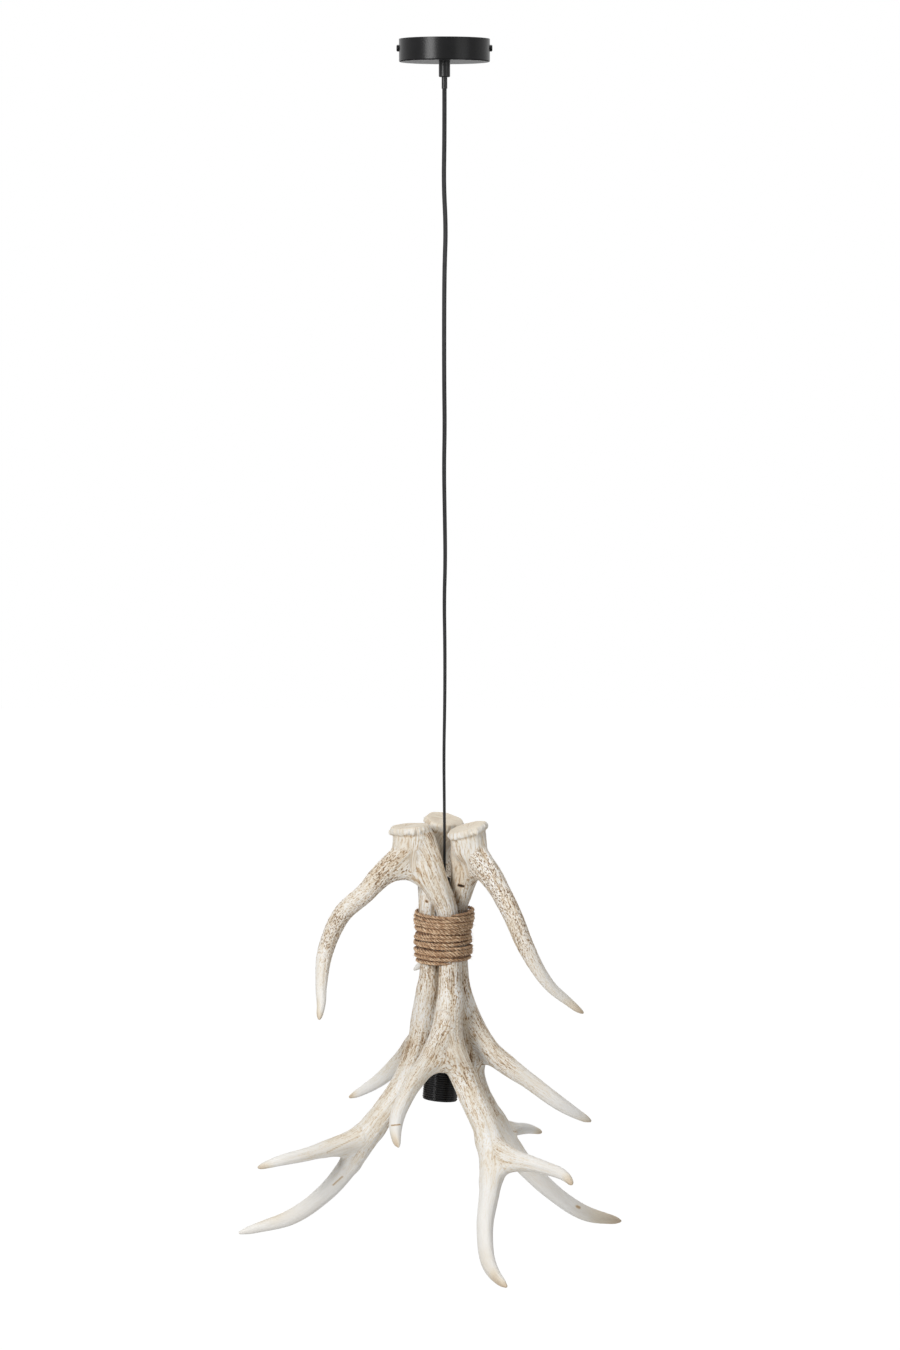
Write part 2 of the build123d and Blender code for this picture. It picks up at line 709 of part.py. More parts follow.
insert_radius = barrel_bore_radius - seat_clearance
terminal_places = [(-terminal_offset, 0), (terminal_offset, 0)]
with BuildPart() as insert:
    with BuildSketch(holder.offset(insert_bottom)):
        Circle(insert_radius)
        with Locations((0, insert_radius), (0, -insert_radius)):
            Rectangle(insert_notch, insert_notch, mode=Mode.SUBTRACT)
    extrude(amount=insert_top - insert_bottom)
    with BuildSketch(holder.offset(insert_top)):
        with Locations(*terminal_places):
            Circle(terminal_screw_diameter / 2 + screw_clearance)
    extrude(amount=-terminal_hole_depth, mode=Mode.SUBTRACT)
save(insert.part, "holder_insert")

with BuildPart() as terminals:
    with BuildSketch(holder.offset(insert_top)):
        with Locations(*terminal_places):
            Circle(terminal_screw_diameter / 2)
    extrude(amount=-terminal_screw_length)
    with BuildSketch(holder.offset(insert_top)):
        with Locations(*terminal_places):
            Circle(terminal_head_diameter / 2)
    extrude(amount=terminal_head_height)
save(terminals.part, "holder_terminals")

bulb_radius = bulb_bore_diameter / 2
shoulder_radius = bulb_shell_shoulder_bore / 2
save(lathe([
    (shoulder_radius, insert_bottom), (insert_radius, insert_bottom),
    (insert_radius, insert_bottom - bulb_shell_wall),
    (shoulder_radius + bulb_shell_wall, insert_bottom - bulb_shell_wall),
    (shoulder_radius + bulb_shell_wall, bulb_thread_top - bulb_shell_wall),
    (bulb_radius + bulb_shell_wall, bulb_thread_top - bulb_shell_wall),
    (bulb_radius + bulb_shell_wall, bulb_shell_bottom), (bulb_radius, bulb_shell_bottom),
    (bulb_radius, bulb_thread_top), (shoulder_radius, bulb_thread_top),
], holder), "screw_shell")

with BuildPart() as contact:
    with BuildSketch(Plane(origin=holder.origin, x_dir=holder.x_dir, z_dir=-holder.y_dir)):
        with BuildLine():
            Polyline(
                (-9, insert_bottom), (-3, insert_bottom), (4, insert_bottom - contact_drop),
                (4, insert_bottom - contact_drop - contact_thickness),
                (-3.3, insert_bottom - contact_thickness), (-9, insert_bottom - contact_thickness),
                close=True,
            )
        make_face()
    extrude(amount=contact_width / 2, both=True)
save(contact.part, "centre_contact")

for name, side in (("holder_line_core", -1), ("holder_neutral_core", 1)):
    start = side * core_pitch / 2
    post = side * (terminal_offset - terminal_head_diameter / 2 - 0.2)
    low = insert_top + core_radius + 0.1
    points = [(start, 0, inner_tip), (start, 0, inner_tip - 3.2), (post, 0, low)]
    core_along([holder.from_local_coords(Vector(*p)) for p in points], name)


# ---------------------------------------------------------------- jute binding
def twine_point(turns):
    """A point of the twine's middle, and its heading, after so many turns from the top."""
    share = turns / twine_turns
    angle = 2 * pi * turns
    reach = (twine_lobe_reach + twine_hollow_reach) / 2
    swell = (twine_lobe_reach - twine_hollow_reach) / 2
    radius = reach + swell * cos(3 * angle) + twine_bulge * cos(pi * share) ** 2
    first_lobe = radians(antler_places["antler_front"][0] + twine_lobe_turn)
    height = binding_centre + twine_pitch * twine_turns * (0.5 - share)
    place = Vector(radius * cos(first_lobe + angle), radius * sin(first_lobe + angle), height)
    heading = Vector(-sin(first_lobe + angle), cos(first_lobe + angle), -twine_pitch / (2 * pi * reach))
    return place, heading.normalized()


def twine_arcs(start, start_heading, end, end_heading):
    """Two arcs that leave the start and meet the end along the given headings."""
    chord = end - start
    both = start_heading + end_heading
    spread = 2 * (1 - start_heading.dot(end_heading))
    reach = (-chord.dot(both) + sqrt(chord.dot(both) ** 2 + spread * chord.dot(chord))) / spread
    knee = start + start_heading * reach
    other_knee = end - end_heading * reach
    middle = (knee + other_knee) / 2
    TangentArc(start, middle, tangent=start_heading)
    TangentArc(middle, end, tangent=(other_knee - knee).normalized())


steps_per_turn = 6
marks = [twine_point(i / steps_per_turn) for i in range(steps_per_turn * twine_turns + 1)]
with BuildPart() as binding:
    with BuildLine() as twine_path:
        first, first_heading = marks[0]
        Line(first - first_heading * twine_diameter, first)
        for (a, a_heading), (b, b_heading) in zip(marks, marks[1:]):
            twine_arcs(a, a_heading, b, b_heading)
        last, last_heading = marks[-1]
        Line(last, last + last_heading * twine_diameter)
    with BuildSketch(Plane(origin=twine_path.line @ 0, z_dir=twine_path.line % 0)):
        Circle(twine_diameter / 2)
    sweep()
save(binding.part, "jute_binding")

samples = 96
trail = [twine_point(i / samples)[0] for i in range(samples * twine_turns + 1)]
least = min(
    (trail[i] - trail[j]).length
    for i in range(len(trail))
    for j in range(i + samples * 3 // 4, min(i + samples * 5 // 4, len(trail)))
)
print("twine length", round(sum(edge.length for edge in twine_path.edges())), "least gap to itself",
      round(least - twine_diameter, 2))
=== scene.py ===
import json
import math

import bpy
import numpy as np
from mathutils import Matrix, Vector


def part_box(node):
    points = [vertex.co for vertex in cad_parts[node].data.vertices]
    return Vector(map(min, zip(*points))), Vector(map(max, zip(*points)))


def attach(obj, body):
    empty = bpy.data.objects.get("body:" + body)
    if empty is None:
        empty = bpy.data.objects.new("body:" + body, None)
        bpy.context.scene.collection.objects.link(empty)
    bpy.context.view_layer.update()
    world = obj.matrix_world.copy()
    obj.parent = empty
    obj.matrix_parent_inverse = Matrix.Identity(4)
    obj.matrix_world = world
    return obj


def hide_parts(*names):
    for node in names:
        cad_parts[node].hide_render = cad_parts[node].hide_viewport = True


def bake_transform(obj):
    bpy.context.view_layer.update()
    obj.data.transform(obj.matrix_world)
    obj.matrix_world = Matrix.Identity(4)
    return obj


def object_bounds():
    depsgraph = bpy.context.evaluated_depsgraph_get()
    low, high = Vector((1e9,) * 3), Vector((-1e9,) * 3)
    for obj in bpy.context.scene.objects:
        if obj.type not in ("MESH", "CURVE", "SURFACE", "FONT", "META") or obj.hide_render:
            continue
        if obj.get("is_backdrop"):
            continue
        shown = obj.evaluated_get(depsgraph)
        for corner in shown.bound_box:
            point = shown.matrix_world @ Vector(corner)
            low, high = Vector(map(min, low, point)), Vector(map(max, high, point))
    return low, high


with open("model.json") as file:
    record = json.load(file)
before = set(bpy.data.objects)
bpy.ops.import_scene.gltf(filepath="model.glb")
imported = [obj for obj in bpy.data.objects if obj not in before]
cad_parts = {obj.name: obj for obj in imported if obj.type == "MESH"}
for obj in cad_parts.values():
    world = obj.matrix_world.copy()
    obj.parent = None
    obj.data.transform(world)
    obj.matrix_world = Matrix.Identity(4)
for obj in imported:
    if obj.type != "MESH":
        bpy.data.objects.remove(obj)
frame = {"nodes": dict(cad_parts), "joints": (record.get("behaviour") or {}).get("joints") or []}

import openvdb
from mathutils import Matrix, Vector, kdtree

cad_box = [list(corner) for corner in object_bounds()]


# ---------------------------------------------------------------- camera
# The photograph is 900 x 1350 pixels, taken from a little below the canopy with a long lens
# that looks slightly down.
picture_width = 900
picture_height = 1350
focal_pixels = 4682
camera_place = (0.0061, -5.179, -0.2973)
camera_pitch = 4.45              # degrees below the horizon


def add_object(name, data):
    """A new object of the scene."""
    made = bpy.data.objects.new(name, data)
    bpy.context.scene.collection.objects.link(made)
    return made


lens = bpy.data.cameras.new("camera")
lens.sensor_fit = "VERTICAL"
lens.sensor_height = 24
lens.lens = lens.sensor_height * focal_pixels / picture_height
lens.clip_end = 60
camera = add_object("camera", lens)
camera.location = camera_place
camera.rotation_euler = (math.radians(90 - camera_pitch), 0, 0)
bpy.context.scene.camera = camera


# ---------------------------------------------------------------- canopy and cord grip
# A steel cup in satin black powder coat, held to a zinc-plated strap by two side screws, with
# a white terminal block inside. Under it sits a black nylon cord grip, whose slit sleeve saves
# the flex from a sharp bend.
MM = 0.001                       # metres in a millimetre
patch_grains = 25                # how many grains wide a patch of uneven colour is
gloss_wear = 0.15                # share by which the roughness varies


def nodes_of(name):
    """A new material with its node tree and its Principled shader."""
    material = bpy.data.materials.new(name)
    material.use_nodes = True
    tree = material.node_tree
    return material, tree, tree.nodes["Principled BSDF"]


def add_node(tree, kind, settings=None, **inputs):
    """A node of that kind. An input, by name or as i0, i1, is a value or a node's output."""
    made = tree.nodes.new("ShaderNode" + kind)
    for key, value in (settings or {}).items():
        setattr(made, key, value)
    for key, value in inputs.items():
        by_place = key[0] == "i" and key[1:].isdigit()
        socket = made.inputs[int(key[1:]) if by_place else key.replace("_", " ")]
        if isinstance(value, bpy.types.NodeSocket):
            tree.links.new(value, socket)
        else:
            socket.default_value = value
    return made


def noise(tree, place, scale, detail, roughness=0.5):
    """Smooth noise from 0 to 1, with about that many waves in a metre."""
    made = add_node(tree, "TexNoise", Vector=place, Scale=scale, Detail=detail, Roughness=roughness)
    return made.outputs["Fac"]


def span_of(tree, value, low, high, at_low, at_high):
    """From at_low, where the value is low, to at_high, where it is high."""
    made = add_node(tree, "MapRange", i0=value, i1=low, i2=high, i3=at_low, i4=at_high)
    return made.outputs[0]


def ramp(tree, factor, *stops):
    """A colour ramp through (place, colour) stops."""
    made = add_node(tree, "ValToRGB", Fac=factor)
    elements = made.color_ramp.elements
    while len(elements) < len(stops):
        elements.new(0.5)
    for element, (place, colour) in zip(elements, stops):
        element.position = place
        element.color = (*colour, 1)
    return made.outputs["Color"]


def moulded(name, colour, roughness, grain, bump, metallic=0.0, specular=0.5, spread=0.35):
    """Plastic, rubber or metal with a fine grain, faint wear in its gloss and uneven colour."""
    material, tree, shader = nodes_of(name)
    place = add_node(tree, "TexCoord").outputs["Object"]
    fine = noise(tree, place, 1 / grain, 3.0)
    broad = noise(tree, place, 1 / (grain * patch_grains), 2.0)
    dark = [channel * (1 - spread) for channel in colour]
    light = [min(1, channel * (1 + spread)) for channel in colour]
    tree.links.new(ramp(tree, broad, (0.3, dark), (0.7, light)), shader.inputs["Base Color"])
    smoothest, roughest = roughness * (1 - gloss_wear), min(1, roughness * (1 + gloss_wear))
    gloss = span_of(tree, fine, 0.3, 0.7, smoothest, roughest)
    tree.links.new(gloss, shader.inputs["Roughness"])
    relief = add_node(tree, "Bump", Height=fine, Strength=bump, Distance=grain)
    tree.links.new(relief.outputs[0], shader.inputs["Normal"])
    shader.inputs["Metallic"].default_value = metallic
    shader.inputs["Specular IOR Level"].default_value = specular
    return material


def paint(material, *names):
    """Gives CAD nodes one material all over."""
    for name in names:
        mesh = frame["nodes"][name].data
        mesh.materials.clear()
        mesh.materials.append(material)


canopy_black = moulded("canopy_black", (0.004, 0.004, 0.0045), 0.27, 0.4 * MM, 0.06, specular=0.2)
grip_black = moulded("grip_black", (0.008, 0.008, 0.0085), 0.34, 0.3 * MM, 0.08, specular=0.3)
zinc = moulded("zinc", (0.55, 0.55, 0.53), 0.38, 0.5 * MM, 0.2, metallic=1.0, spread=0.12)
brass = moulded("brass", (0.72, 0.52, 0.22), 0.33, 0.5 * MM, 0.15, metallic=1.0, spread=0.15)
block_white = moulded("block_white", (0.74, 0.73, 0.68), 0.5, 0.4 * MM, 0.1, spread=0.06)
paint(canopy_black, "canopy_cup", "canopy_screws")
paint(grip_black, "grip_body", "grip_sleeve")
paint(zinc, "ceiling_bracket", "block_screw", "grip_washer", "grip_locknut")
paint(brass, "terminal_screws")
paint(block_white, "terminal_block")


# ---------------------------------------------------------------- flex
# Black rubber flex with two cores and two flat sides, in one length from the terminal block to
# the lampholder, held by the grips at both ends. It shows its broad side at the top and, after
# a quarter twist, its narrow side at the antlers.
flex_width = 4.9 * MM
flex_thickness = 3.0 * MM
flex_end_power = 0.72            # of the section's ends: 1 is an oval, less is squarer
flex_face_power = 0.62           # and of its broad faces
flex_waist = 0.12 * MM           # depth of the hollow between the cores, on each side
flex_waist_width = 0.5 * MM
flex_corners = 28                # points round its outline
flex_twist = math.radians(90)
sleeve_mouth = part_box("grip_sleeve")[0].z
flex_pivot = frame["joints"][0]["pos_m"][2]
flex_bend_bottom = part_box("flex_bend")[0].z
flex_route = [                   # (sideways, height) in millimetres
    (0.0, -68.1), (0.0, -112.0), (-0.9, -158.0), (1.6, -207.0), (0.0, -250.0),
    (-0.4, -312.0), (-0.3, -380.0), (0.3, -425.0), (-0.6, -470.0), (0.2, -520.0),
    (1.0, -572.0), (-0.4, -618.0), (0.5, -668.0), (0.4, -728.0), (-0.8, -790.0),
    (-0.2, -842.0), (0.0, -889.0), (0.0, -935.7),
]


def link(name, data, material, body, replaced=()):
    """Puts a piece in the scene, on its body and in place of its CAD nodes."""
    piece = add_object(name, data)
    data.materials.append(material)
    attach(piece, body)
    if replaced:
        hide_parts(*replaced)
    return piece


def flex_outline():
    """The flex's section: two round cores side by side, with a shallow hollow between them."""
    points = []
    for i in range(flex_corners):
        angle = 2 * math.pi * i / flex_corners
        out = abs(math.cos(angle)) ** flex_end_power
        x = flex_width / 2 * math.copysign(out, math.cos(angle))
        half_thickness = flex_thickness / 2 * abs(math.sin(angle)) ** flex_face_power
        half_thickness -= flex_waist * math.exp(-(x / flex_waist_width) ** 2)
        points.append((x, math.copysign(half_thickness, math.sin(angle))))
    return points


def tube_faces(joints, rings, around):
    """Faces between rings of points. As many joints as rings close the tube on itself."""
    faces = []
    for r in range(joints):
        this, following = r * around, (r + 1) % rings * around
        for i in range(around):
            j = (i + 1) % around
            faces.append((this + i, this + j, following + j, following + i))
    return faces


def flex_stub(name, top, bottom, rings=10):
    """A straight stretch of flex between two heights."""
    outline = flex_outline()
    heights = [top + (bottom - top) * i / (rings - 1) for i in range(rings)]
    vertices = [(x, y, z) for z in heights for x, y in outline]
    mesh = bpy.data.meshes.new(name)
    mesh.from_pydata(vertices, [], tube_faces(rings - 1, rings, flex_corners))
    mesh.shade_smooth()
    mesh.materials.append(flex_rubber)
    stub = add_object(name, mesh)
    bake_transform(stub)
    return stub


flex_rubber = moulded("flex_rubber", (0.014, 0.014, 0.015), 0.6, 0.35 * MM, 0.15, specular=0.3)
core_brown = moulded("core_brown", (0.2, 0.09, 0.045), 0.4, 0.2 * MM, 0.1)
core_blue = moulded("core_blue", (0.05, 0.13, 0.42), 0.4, 0.2 * MM, 0.1)
upper_stub = flex_stub("flex_bend_upper", sleeve_mouth, flex_pivot)
lower_stub = flex_stub("flex_bend_lower", flex_pivot, flex_bend_bottom)
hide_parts("flex_bend")

section = bpy.data.curves.new("flex_section", "CURVE")
outline_line = section.splines.new("POLY")
outline_points = flex_outline()
outline_line.points.add(len(outline_points) - 1)
for point, (x, y) in zip(outline_line.points, outline_points):
    point.co = (x, y, 0, 1)
outline_line.use_cyclic_u = True
section_piece = add_object("flex_section", section)
section_piece.hide_render = True
section_piece.hide_viewport = True

flex_line = bpy.data.curves.new("hanging_flex", "CURVE")
flex_line.dimensions = "3D"
flex_line.twist_mode = "MINIMUM"
flex_line.bevel_mode = "OBJECT"
flex_line.bevel_object = section_piece
flex_line.resolution_u = 16
spline = flex_line.splines.new("NURBS")
spline.points.add(len(flex_route) - 1)
for i, (point, (x, z)) in enumerate(zip(spline.points, flex_route)):
    point.co = (x * MM, 0, z * MM, 1)
    point.tilt = flex_twist * i / (len(flex_route) - 1)
spline.order_u = 3
spline.use_endpoint_u = True
flex = link("hanging_flex", flex_line, flex_rubber, "flex", ["flex_cord"])
paint(flex_rubber, "flex_tail", "flex_inner")
paint(core_brown, "line_core", "holder_line_core")
paint(core_blue, "neutral_core", "holder_neutral_core")


# ---------------------------------------------------------------- centre tube
# A zinc-plated threaded tube that hangs from the flex by a nylon grip and a screw. A washer
# and a nut at its foot carry the beams, and three wood screws tie them to each other.
paint(grip_black, "tube_grip")
paint(canopy_black, "tube_grip_screw")
paint(zinc, "centre_tube", "bottom_washer", "bottom_nut", "beam_screws")


# ---------------------------------------------------------------- antlers
# Three casts in filled resin from the mould of one shed antler, painted bone white, with a
# brown wash left in the grooves. Each stands in its own turn and lean round the centre tube.

# Sizes are in millimetres. A station is (outwards, sideways, height, half width, half depth),
# in the frame of one antler whose beam leaves the lamp along +X.
beam_stations = [
    (-2, -35, -876, 17.0, 17.0), (7.5, -23, -893, 15.5, 15.5), (14, -15, -923, 13.4, 13.4),
    (16.6, -3.5, -958, 12.2, 11.4), (17.0, -1.5, -1000, 13.0, 11.3),
    (18.2, -4, -1051, 14.2, 12.3), (27, -10, -1102, 15.0, 14.0), (50, 2, -1161, 14.8, 14.2),
    (85, 7.5, -1208, 15.4, 13.8), (114, -7, -1253, 11.6, 11.8), (146, -29.3, -1293, 8.8, 10.2),
    (190, -45.3, -1324, 7.2, 8.8), (217, -49.5, -1332.5, 5.6, 6.4),
    (235, -49.8, -1337.2, 3.7, 4.1), (243.5, -49.5, -1339.4, 1.6, 1.6),
]
brow_stations = [
    (1.5, -31, -881, 14.0, 14.0), (1.9, -48, -896, 13.3, 13.3), (-1.3, -69, -913, 12.0, 12.0),
    (-4.5, -90, -934, 11.2, 11.2), (-13.3, -115, -956, 10.4, 10.4),
    (-13.2, -136, -991, 9.1, 9.1), (7.2, -153, -1033, 6.3, 6.3), (26, -161.5, -1050, 4.8, 4.8),
    (36.5, -168, -1060, 3.1, 3.1), (40.6, -170.2, -1063.1, 1.5, 1.5),
]
first_tine_stations = [
    (20.5, -2, -1057, 9.5, 9.5), (27.5, -19.8, -1093, 11.3, 11.3),
    (37.6, -45.5, -1126, 10.5, 10.5), (56.5, -75, -1150.5, 9.2, 9.2),
    (81, -101, -1177, 7.8, 7.8), (99.5, -110, -1190, 5.6, 5.6),
    (111, -113.5, -1196.5, 3.6, 3.6), (116.6, -114.6, -1199.1, 1.5, 1.5),
]
second_tine_stations = [
    (86, 4, -1210, 9.8, 9.8), (106, 13, -1220, 10.6, 10.6), (128, 21.5, -1226, 9.3, 9.3),
    (158.6, 36.7, -1232, 7.2, 7.2), (191, 46.3, -1237, 5.5, 5.5),
    (203, 47, -1240.3, 4.1, 4.1), (210.5, 46.2, -1242.8, 2.5, 2.5),
    (212.8, 46, -1243.5, 1.4, 1.4),
]
neck_stations = [                # under the burr, along its own axis
    (-2.2, -36.4, -872.4, 16.8, 16.8), (-1.0, -37.3, -880.8, 16.2, 16.2),
    (0.1, -38.2, -888.6, 14.4, 14.4), (0.9, -38.8, -894.4, 10.5, 10.5),
]
brow_web_stations = [            # the flesh in the crook between brow tine and beam
    (-3, -78, -922, 6.6, 6.6), (1, -60, -914, 9.0, 9.0), (6, -40, -914.5, 10.0, 10.0),
    (12, -24, -926, 9.0, 9.0), (15.5, -12, -943, 7.0, 7.0),
]
first_web_stations = [           # the round arch between first tine and beam
    (50, -66, -1142, 4.5, 4.5), (44, -50, -1130, 7.0, 7.0), (41, -33, -1126.5, 9.3, 9.3),
    (42, -16, -1129, 8.8, 8.8), (46, -5, -1140, 5.5, 5.5),
]
second_web_stations = [          # and between second tine and beam
    (141, 28, -1230, 4.8, 4.8), (127, 17, -1231, 7.5, 7.5), (115, 6, -1236, 9.2, 9.2),
    (112, -6, -1252, 8.2, 8.2),
]
# Each branch with the width of the flesh that joins it to the branches before it. The grain
# follows the first five, and the webs only add flesh.
branches = [
    (beam_stations, 0.0), (brow_stations, 10.0), (first_tine_stations, 12.0),
    (second_tine_stations, 12.0), (neck_stations, 9.0), (brow_web_stations, 10.0),
    (first_web_stations, 9.0), (second_web_stations, 8.0),
]
grained = 5
brow_number = 1
neck_number = 4
neck_flesh = 5.0                 # that the neck's grain reaches past its own branch
sampling = 1.0                   # along a branch
voxel = 1.2                      # of the grid in which the branches grow together
reach = 13.0                     # how far out from a branch the grid is filled
grid_margin = 34.0

burr_centre = Vector((-2.8, -36.0, -868.5))
burr_axis = Vector((-0.14, 0.11, 0.98)).normalized()
burr_radius = 23.0               # to about the outside of its pearls
burr_thickness = 8.5
burr_inset = 1.6                 # of the plate behind the pearls
burr_rounding = 2.0
burr_lobes = [(3, 1, 0.7), (7, 0, 0.5)]  # lobes round the plate, their turn and their height
burr_blend = 1.6
burr_dish = 1.0                  # depth of the saw face's middle
burr_dish_share = 0.8            # of the radius that is dished
burr_grid_depth = 45.0           # under the burr's centre, that its grid covers
burr_zone = 20.0                 # under its centre, that saw face and plate reach
plate_shadow_zone = 24.0               # and that the painted shadow under the plate reaches
saw_edge = (-1.6, -0.4)          # heights between which the skin becomes the raw saw face
pearl_count = 19
pearl_radius = (1.9, 3.6)
pearl_drop = (-2.2, 0.6)         # above the plate's middle
pearl_stagger = 0.3              # of the space between two
pearl_sink = 0.8                 # of its radius inside the burr's
pearl_blend = 1.2

# Grooves and pearls are layers of (number round a branch, length, share of the relief, seed)
groove_layers = [(20, 70, 0.3, 20), (36, 44, 0.4, 36), (56, 26, 0.3, 56)]
pearl_layers = [(38, 3.0, 0.6, 77), (20, 5.0, 0.4, 78)]
groove_wander = (4, 45, 10)      # the same without the share: how the grooves weave
groove_depth = 1.5
root_groove_depth = 0.9          # added near the root of a branch
pearl_height = 0.6
grain_blend = 0.625              # over which the grain of one branch yields to the next
grain_radius = 13.0              # of the branch on which the grain is laid out
branch_spacing = 700             # between the grains of two branches, so none repeats
antler_spacing = 2100            # and between those of two antlers
# Where the brown wash starts on each grained branch, from the tip, over how much of the branch
# it comes in, and how strong it gets
wash_fade = [(0.22, 0.38, 1.0), (0.05, 0.5, 1.0), (0.1, 0.6, 0.8), (0.1, 0.8, 0.45),
             (0.1, 0.4, 0.75)]

binding_centre = -991.0
antler_places = {                # turn, lean about X, lean about Y, lift
    "antler_front": (-66.5, -0.6, -2.4, -1.6),
    "antler_left": (179.0, 1.9, -1.6, 4.0),
    "antler_right": (47.0, 0.0, 0.0, -2.4),
}
burr_faces = {                   # where the saw face looks, (x, y) for 1 up, and its rise
    "antler_front": (-0.07, -0.03, 4.5),
    "antler_left": (0.17, -0.24, -0.5),
    "antler_right": (-0.30, -0.07, 4.5),
}
bending_neck = (-26.0, -6.0)     # from the burr, where the neck yields to its tilt
bending_zone = 40.0              # under the burr's centre, below which nothing yields

# Old scars and drying cracks, from one pixel of the photograph to another, with half the width
# in pixels and how dark each is
scars = {
    "antler_front": [((391.5, 1125.5), (400, 1124.5), 0.5, 0.8)],
    "antler_left": [((426.3, 901.0), (427.0, 901.8), 1.0, 1.0),
                    ((327, 1152.5), (361, 1135), 0.45, 0.35),
                    ((332, 1186), (342.5, 1176.5), 0.6, 0.5)],
    "antler_right": [((458.6, 885), (463.2, 886.3), 1.0, 1.0),
                     ((577, 1206.4), (579.4, 1207.6), 1.2, 0.5)],
}
scar_search = 3.0                # pixels from a scar, where its nearest skin is looked for
scar_edge = 1.6                  # half widths at which it has faded out
scar_layer = 12 * MM             # behind the nearest skin, that it may mark

wash_tints = [(0.0, (0.87, 0.855, 0.825)), (0.2, (0.77, 0.695, 0.575)),
              (0.5, (0.51, 0.365, 0.225)), (0.78, (0.26, 0.155, 0.08)),
              (1.0, (0.03, 0.02, 0.014))]
streak_stretch = (1, 1, 0.1)     # of the grain's space, so that the noise runs lengthways
fleck_stretch = (1, 1, 0.45)
streak_scale = 900.0
patch_scale = 45.0
cloud_scale = 14.0
strongest_wash = 0.85
bone_relief = 0.6 * MM
dice = np.random.default_rng(7)


def rise(values, low, high):
    """0 up to low, 1 from high on, and straight in between."""
    return np.clip((values - low) / (high - low), 0, 1)


def unit(rows):
    """Directions, one in each row, made of length 1."""
    return rows / np.linalg.norm(rows, axis=1)[:, None]


def smooth_path(stations):
    """Even samples along a branch: places, headings, the two oval axes, half widths, lengths."""
    rows = np.array(stations, float)
    steps = np.linalg.norm(np.diff(rows[:, :3], axis=0), axis=1)
    along = np.concatenate([[0], np.cumsum(steps)])
    slopes = np.gradient(rows, along, axis=0)
    at = np.arange(0, along[-1], sampling)
    k = np.clip(np.searchsorted(along, at, side="right") - 1, 0, len(steps) - 1)
    h = steps[k][:, None]
    t = (at - along[k])[:, None] / h
    values = ((2 * t**3 - 3 * t**2 + 1) * rows[k] + (t**3 - 2 * t**2 + t) * h * slopes[k]
              + (3 * t**2 - 2 * t**3) * rows[k + 1] + (t**3 - t**2) * h * slopes[k + 1])
    places, halves = values[:, :3], values[:, 3:]
    headings = unit(np.gradient(places, axis=0))
    wide = np.zeros_like(places)
    across = np.array([0.0, 1.0, 0.0] if abs(headings[0, 1]) < 0.6 else [1.0, 0.0, 0.0])
    for i, heading in enumerate(headings):
        across = across - heading * across.dot(heading)
        across /= np.linalg.norm(across)
        wide[i] = across
    return {"place": places, "heading": headings, "wide": wide, "deep": np.cross(headings, wide),
            "half": halves, "at": at}


def branch_field(path, low, size):
    """The distance from a branch's skin at each point of the grid."""
    field = np.full(size, reach, np.float32)
    for place, heading, wide, deep, half in zip(
            path["place"], path["heading"], path["wide"], path["deep"], path["half"]):
        extent = half.max() + reach
        a = np.maximum(np.floor((place - extent - low) / voxel).astype(int), 0)
        b = np.minimum(np.ceil((place + extent - low) / voxel).astype(int) + 1, size)
        axes = [low[i] + np.arange(a[i], b[i]) * voxel - place[i] for i in range(3)]
        x, y, z = np.meshgrid(*axes, indexing="ij", sparse=True)
        u = (x * wide[0] + y * wide[1] + z * wide[2]) / half[0]
        v = (x * deep[0] + y * deep[1] + z * deep[2]) / half[1]
        w = (x * heading[0] + y * heading[1] + z * heading[2]) / half.mean()
        distance = (np.sqrt(u * u + v * v + w * w) - 1) * half.mean()
        block = field[a[0]:b[0], a[1]:b[1], a[2]:b[2]]
        np.minimum(block, distance, out=block)
    return field


def join(a, b, width):
    """The smaller of two fields, with flesh of that width where they meet."""
    overlap = np.maximum(width - np.abs(a - b), 0) / width
    return np.minimum(a, b) - overlap * overlap * width / 4


def add_burr(field, low):
    """Adds the thick root plate with its rim of pearls, and saws off what is above its face."""
    start = int((burr_centre.z - burr_grid_depth - low[2]) / voxel)
    near = field[:, :, start:]
    places = [low[i] + np.arange(n) * voxel - burr_centre[i] for i, n in enumerate(field.shape)]
    x, y, z = np.meshgrid(places[0], places[1], places[2][start:], indexing="ij", sparse=True)
    side = burr_axis.orthogonal().normalized()
    other = burr_axis.cross(side)
    u = x * side.x + y * side.y + z * side.z
    v = x * other.x + y * other.y + z * other.z
    height = x * burr_axis.x + y * burr_axis.y + z * burr_axis.z + burr_thickness / 2
    turn = np.arctan2(v, u)
    rim = burr_radius - burr_inset
    for count, shift, lobe in burr_lobes:
        rim = rim + lobe * np.sin(count * turn + shift)
    out = np.maximum(np.hypot(u, v) - rim + burr_rounding, 0)
    up = np.maximum(np.abs(height) - burr_thickness / 2 + burr_rounding, 0)
    plate = np.hypot(out, up) - burr_rounding
    for i in range(pearl_count):
        angle = 2 * math.pi * (i + dice.uniform(-pearl_stagger, pearl_stagger)) / pearl_count
        radius = dice.uniform(*pearl_radius)
        away = burr_radius - radius * pearl_sink
        drop = dice.uniform(*pearl_drop)
        pearl = np.sqrt((u - away * math.cos(angle)) ** 2 + (v - away * math.sin(angle)) ** 2
                        + (height - drop) ** 2) - radius
        plate = join(plate, pearl, pearl_blend)
    dish = burr_dish * np.clip(1 - np.hypot(u, v) / (burr_radius * burr_dish_share), 0, 1)
    whole = join(near, plate, burr_blend)
    field[:, :, start:] = np.maximum(whole, height - burr_thickness / 2 + dish)


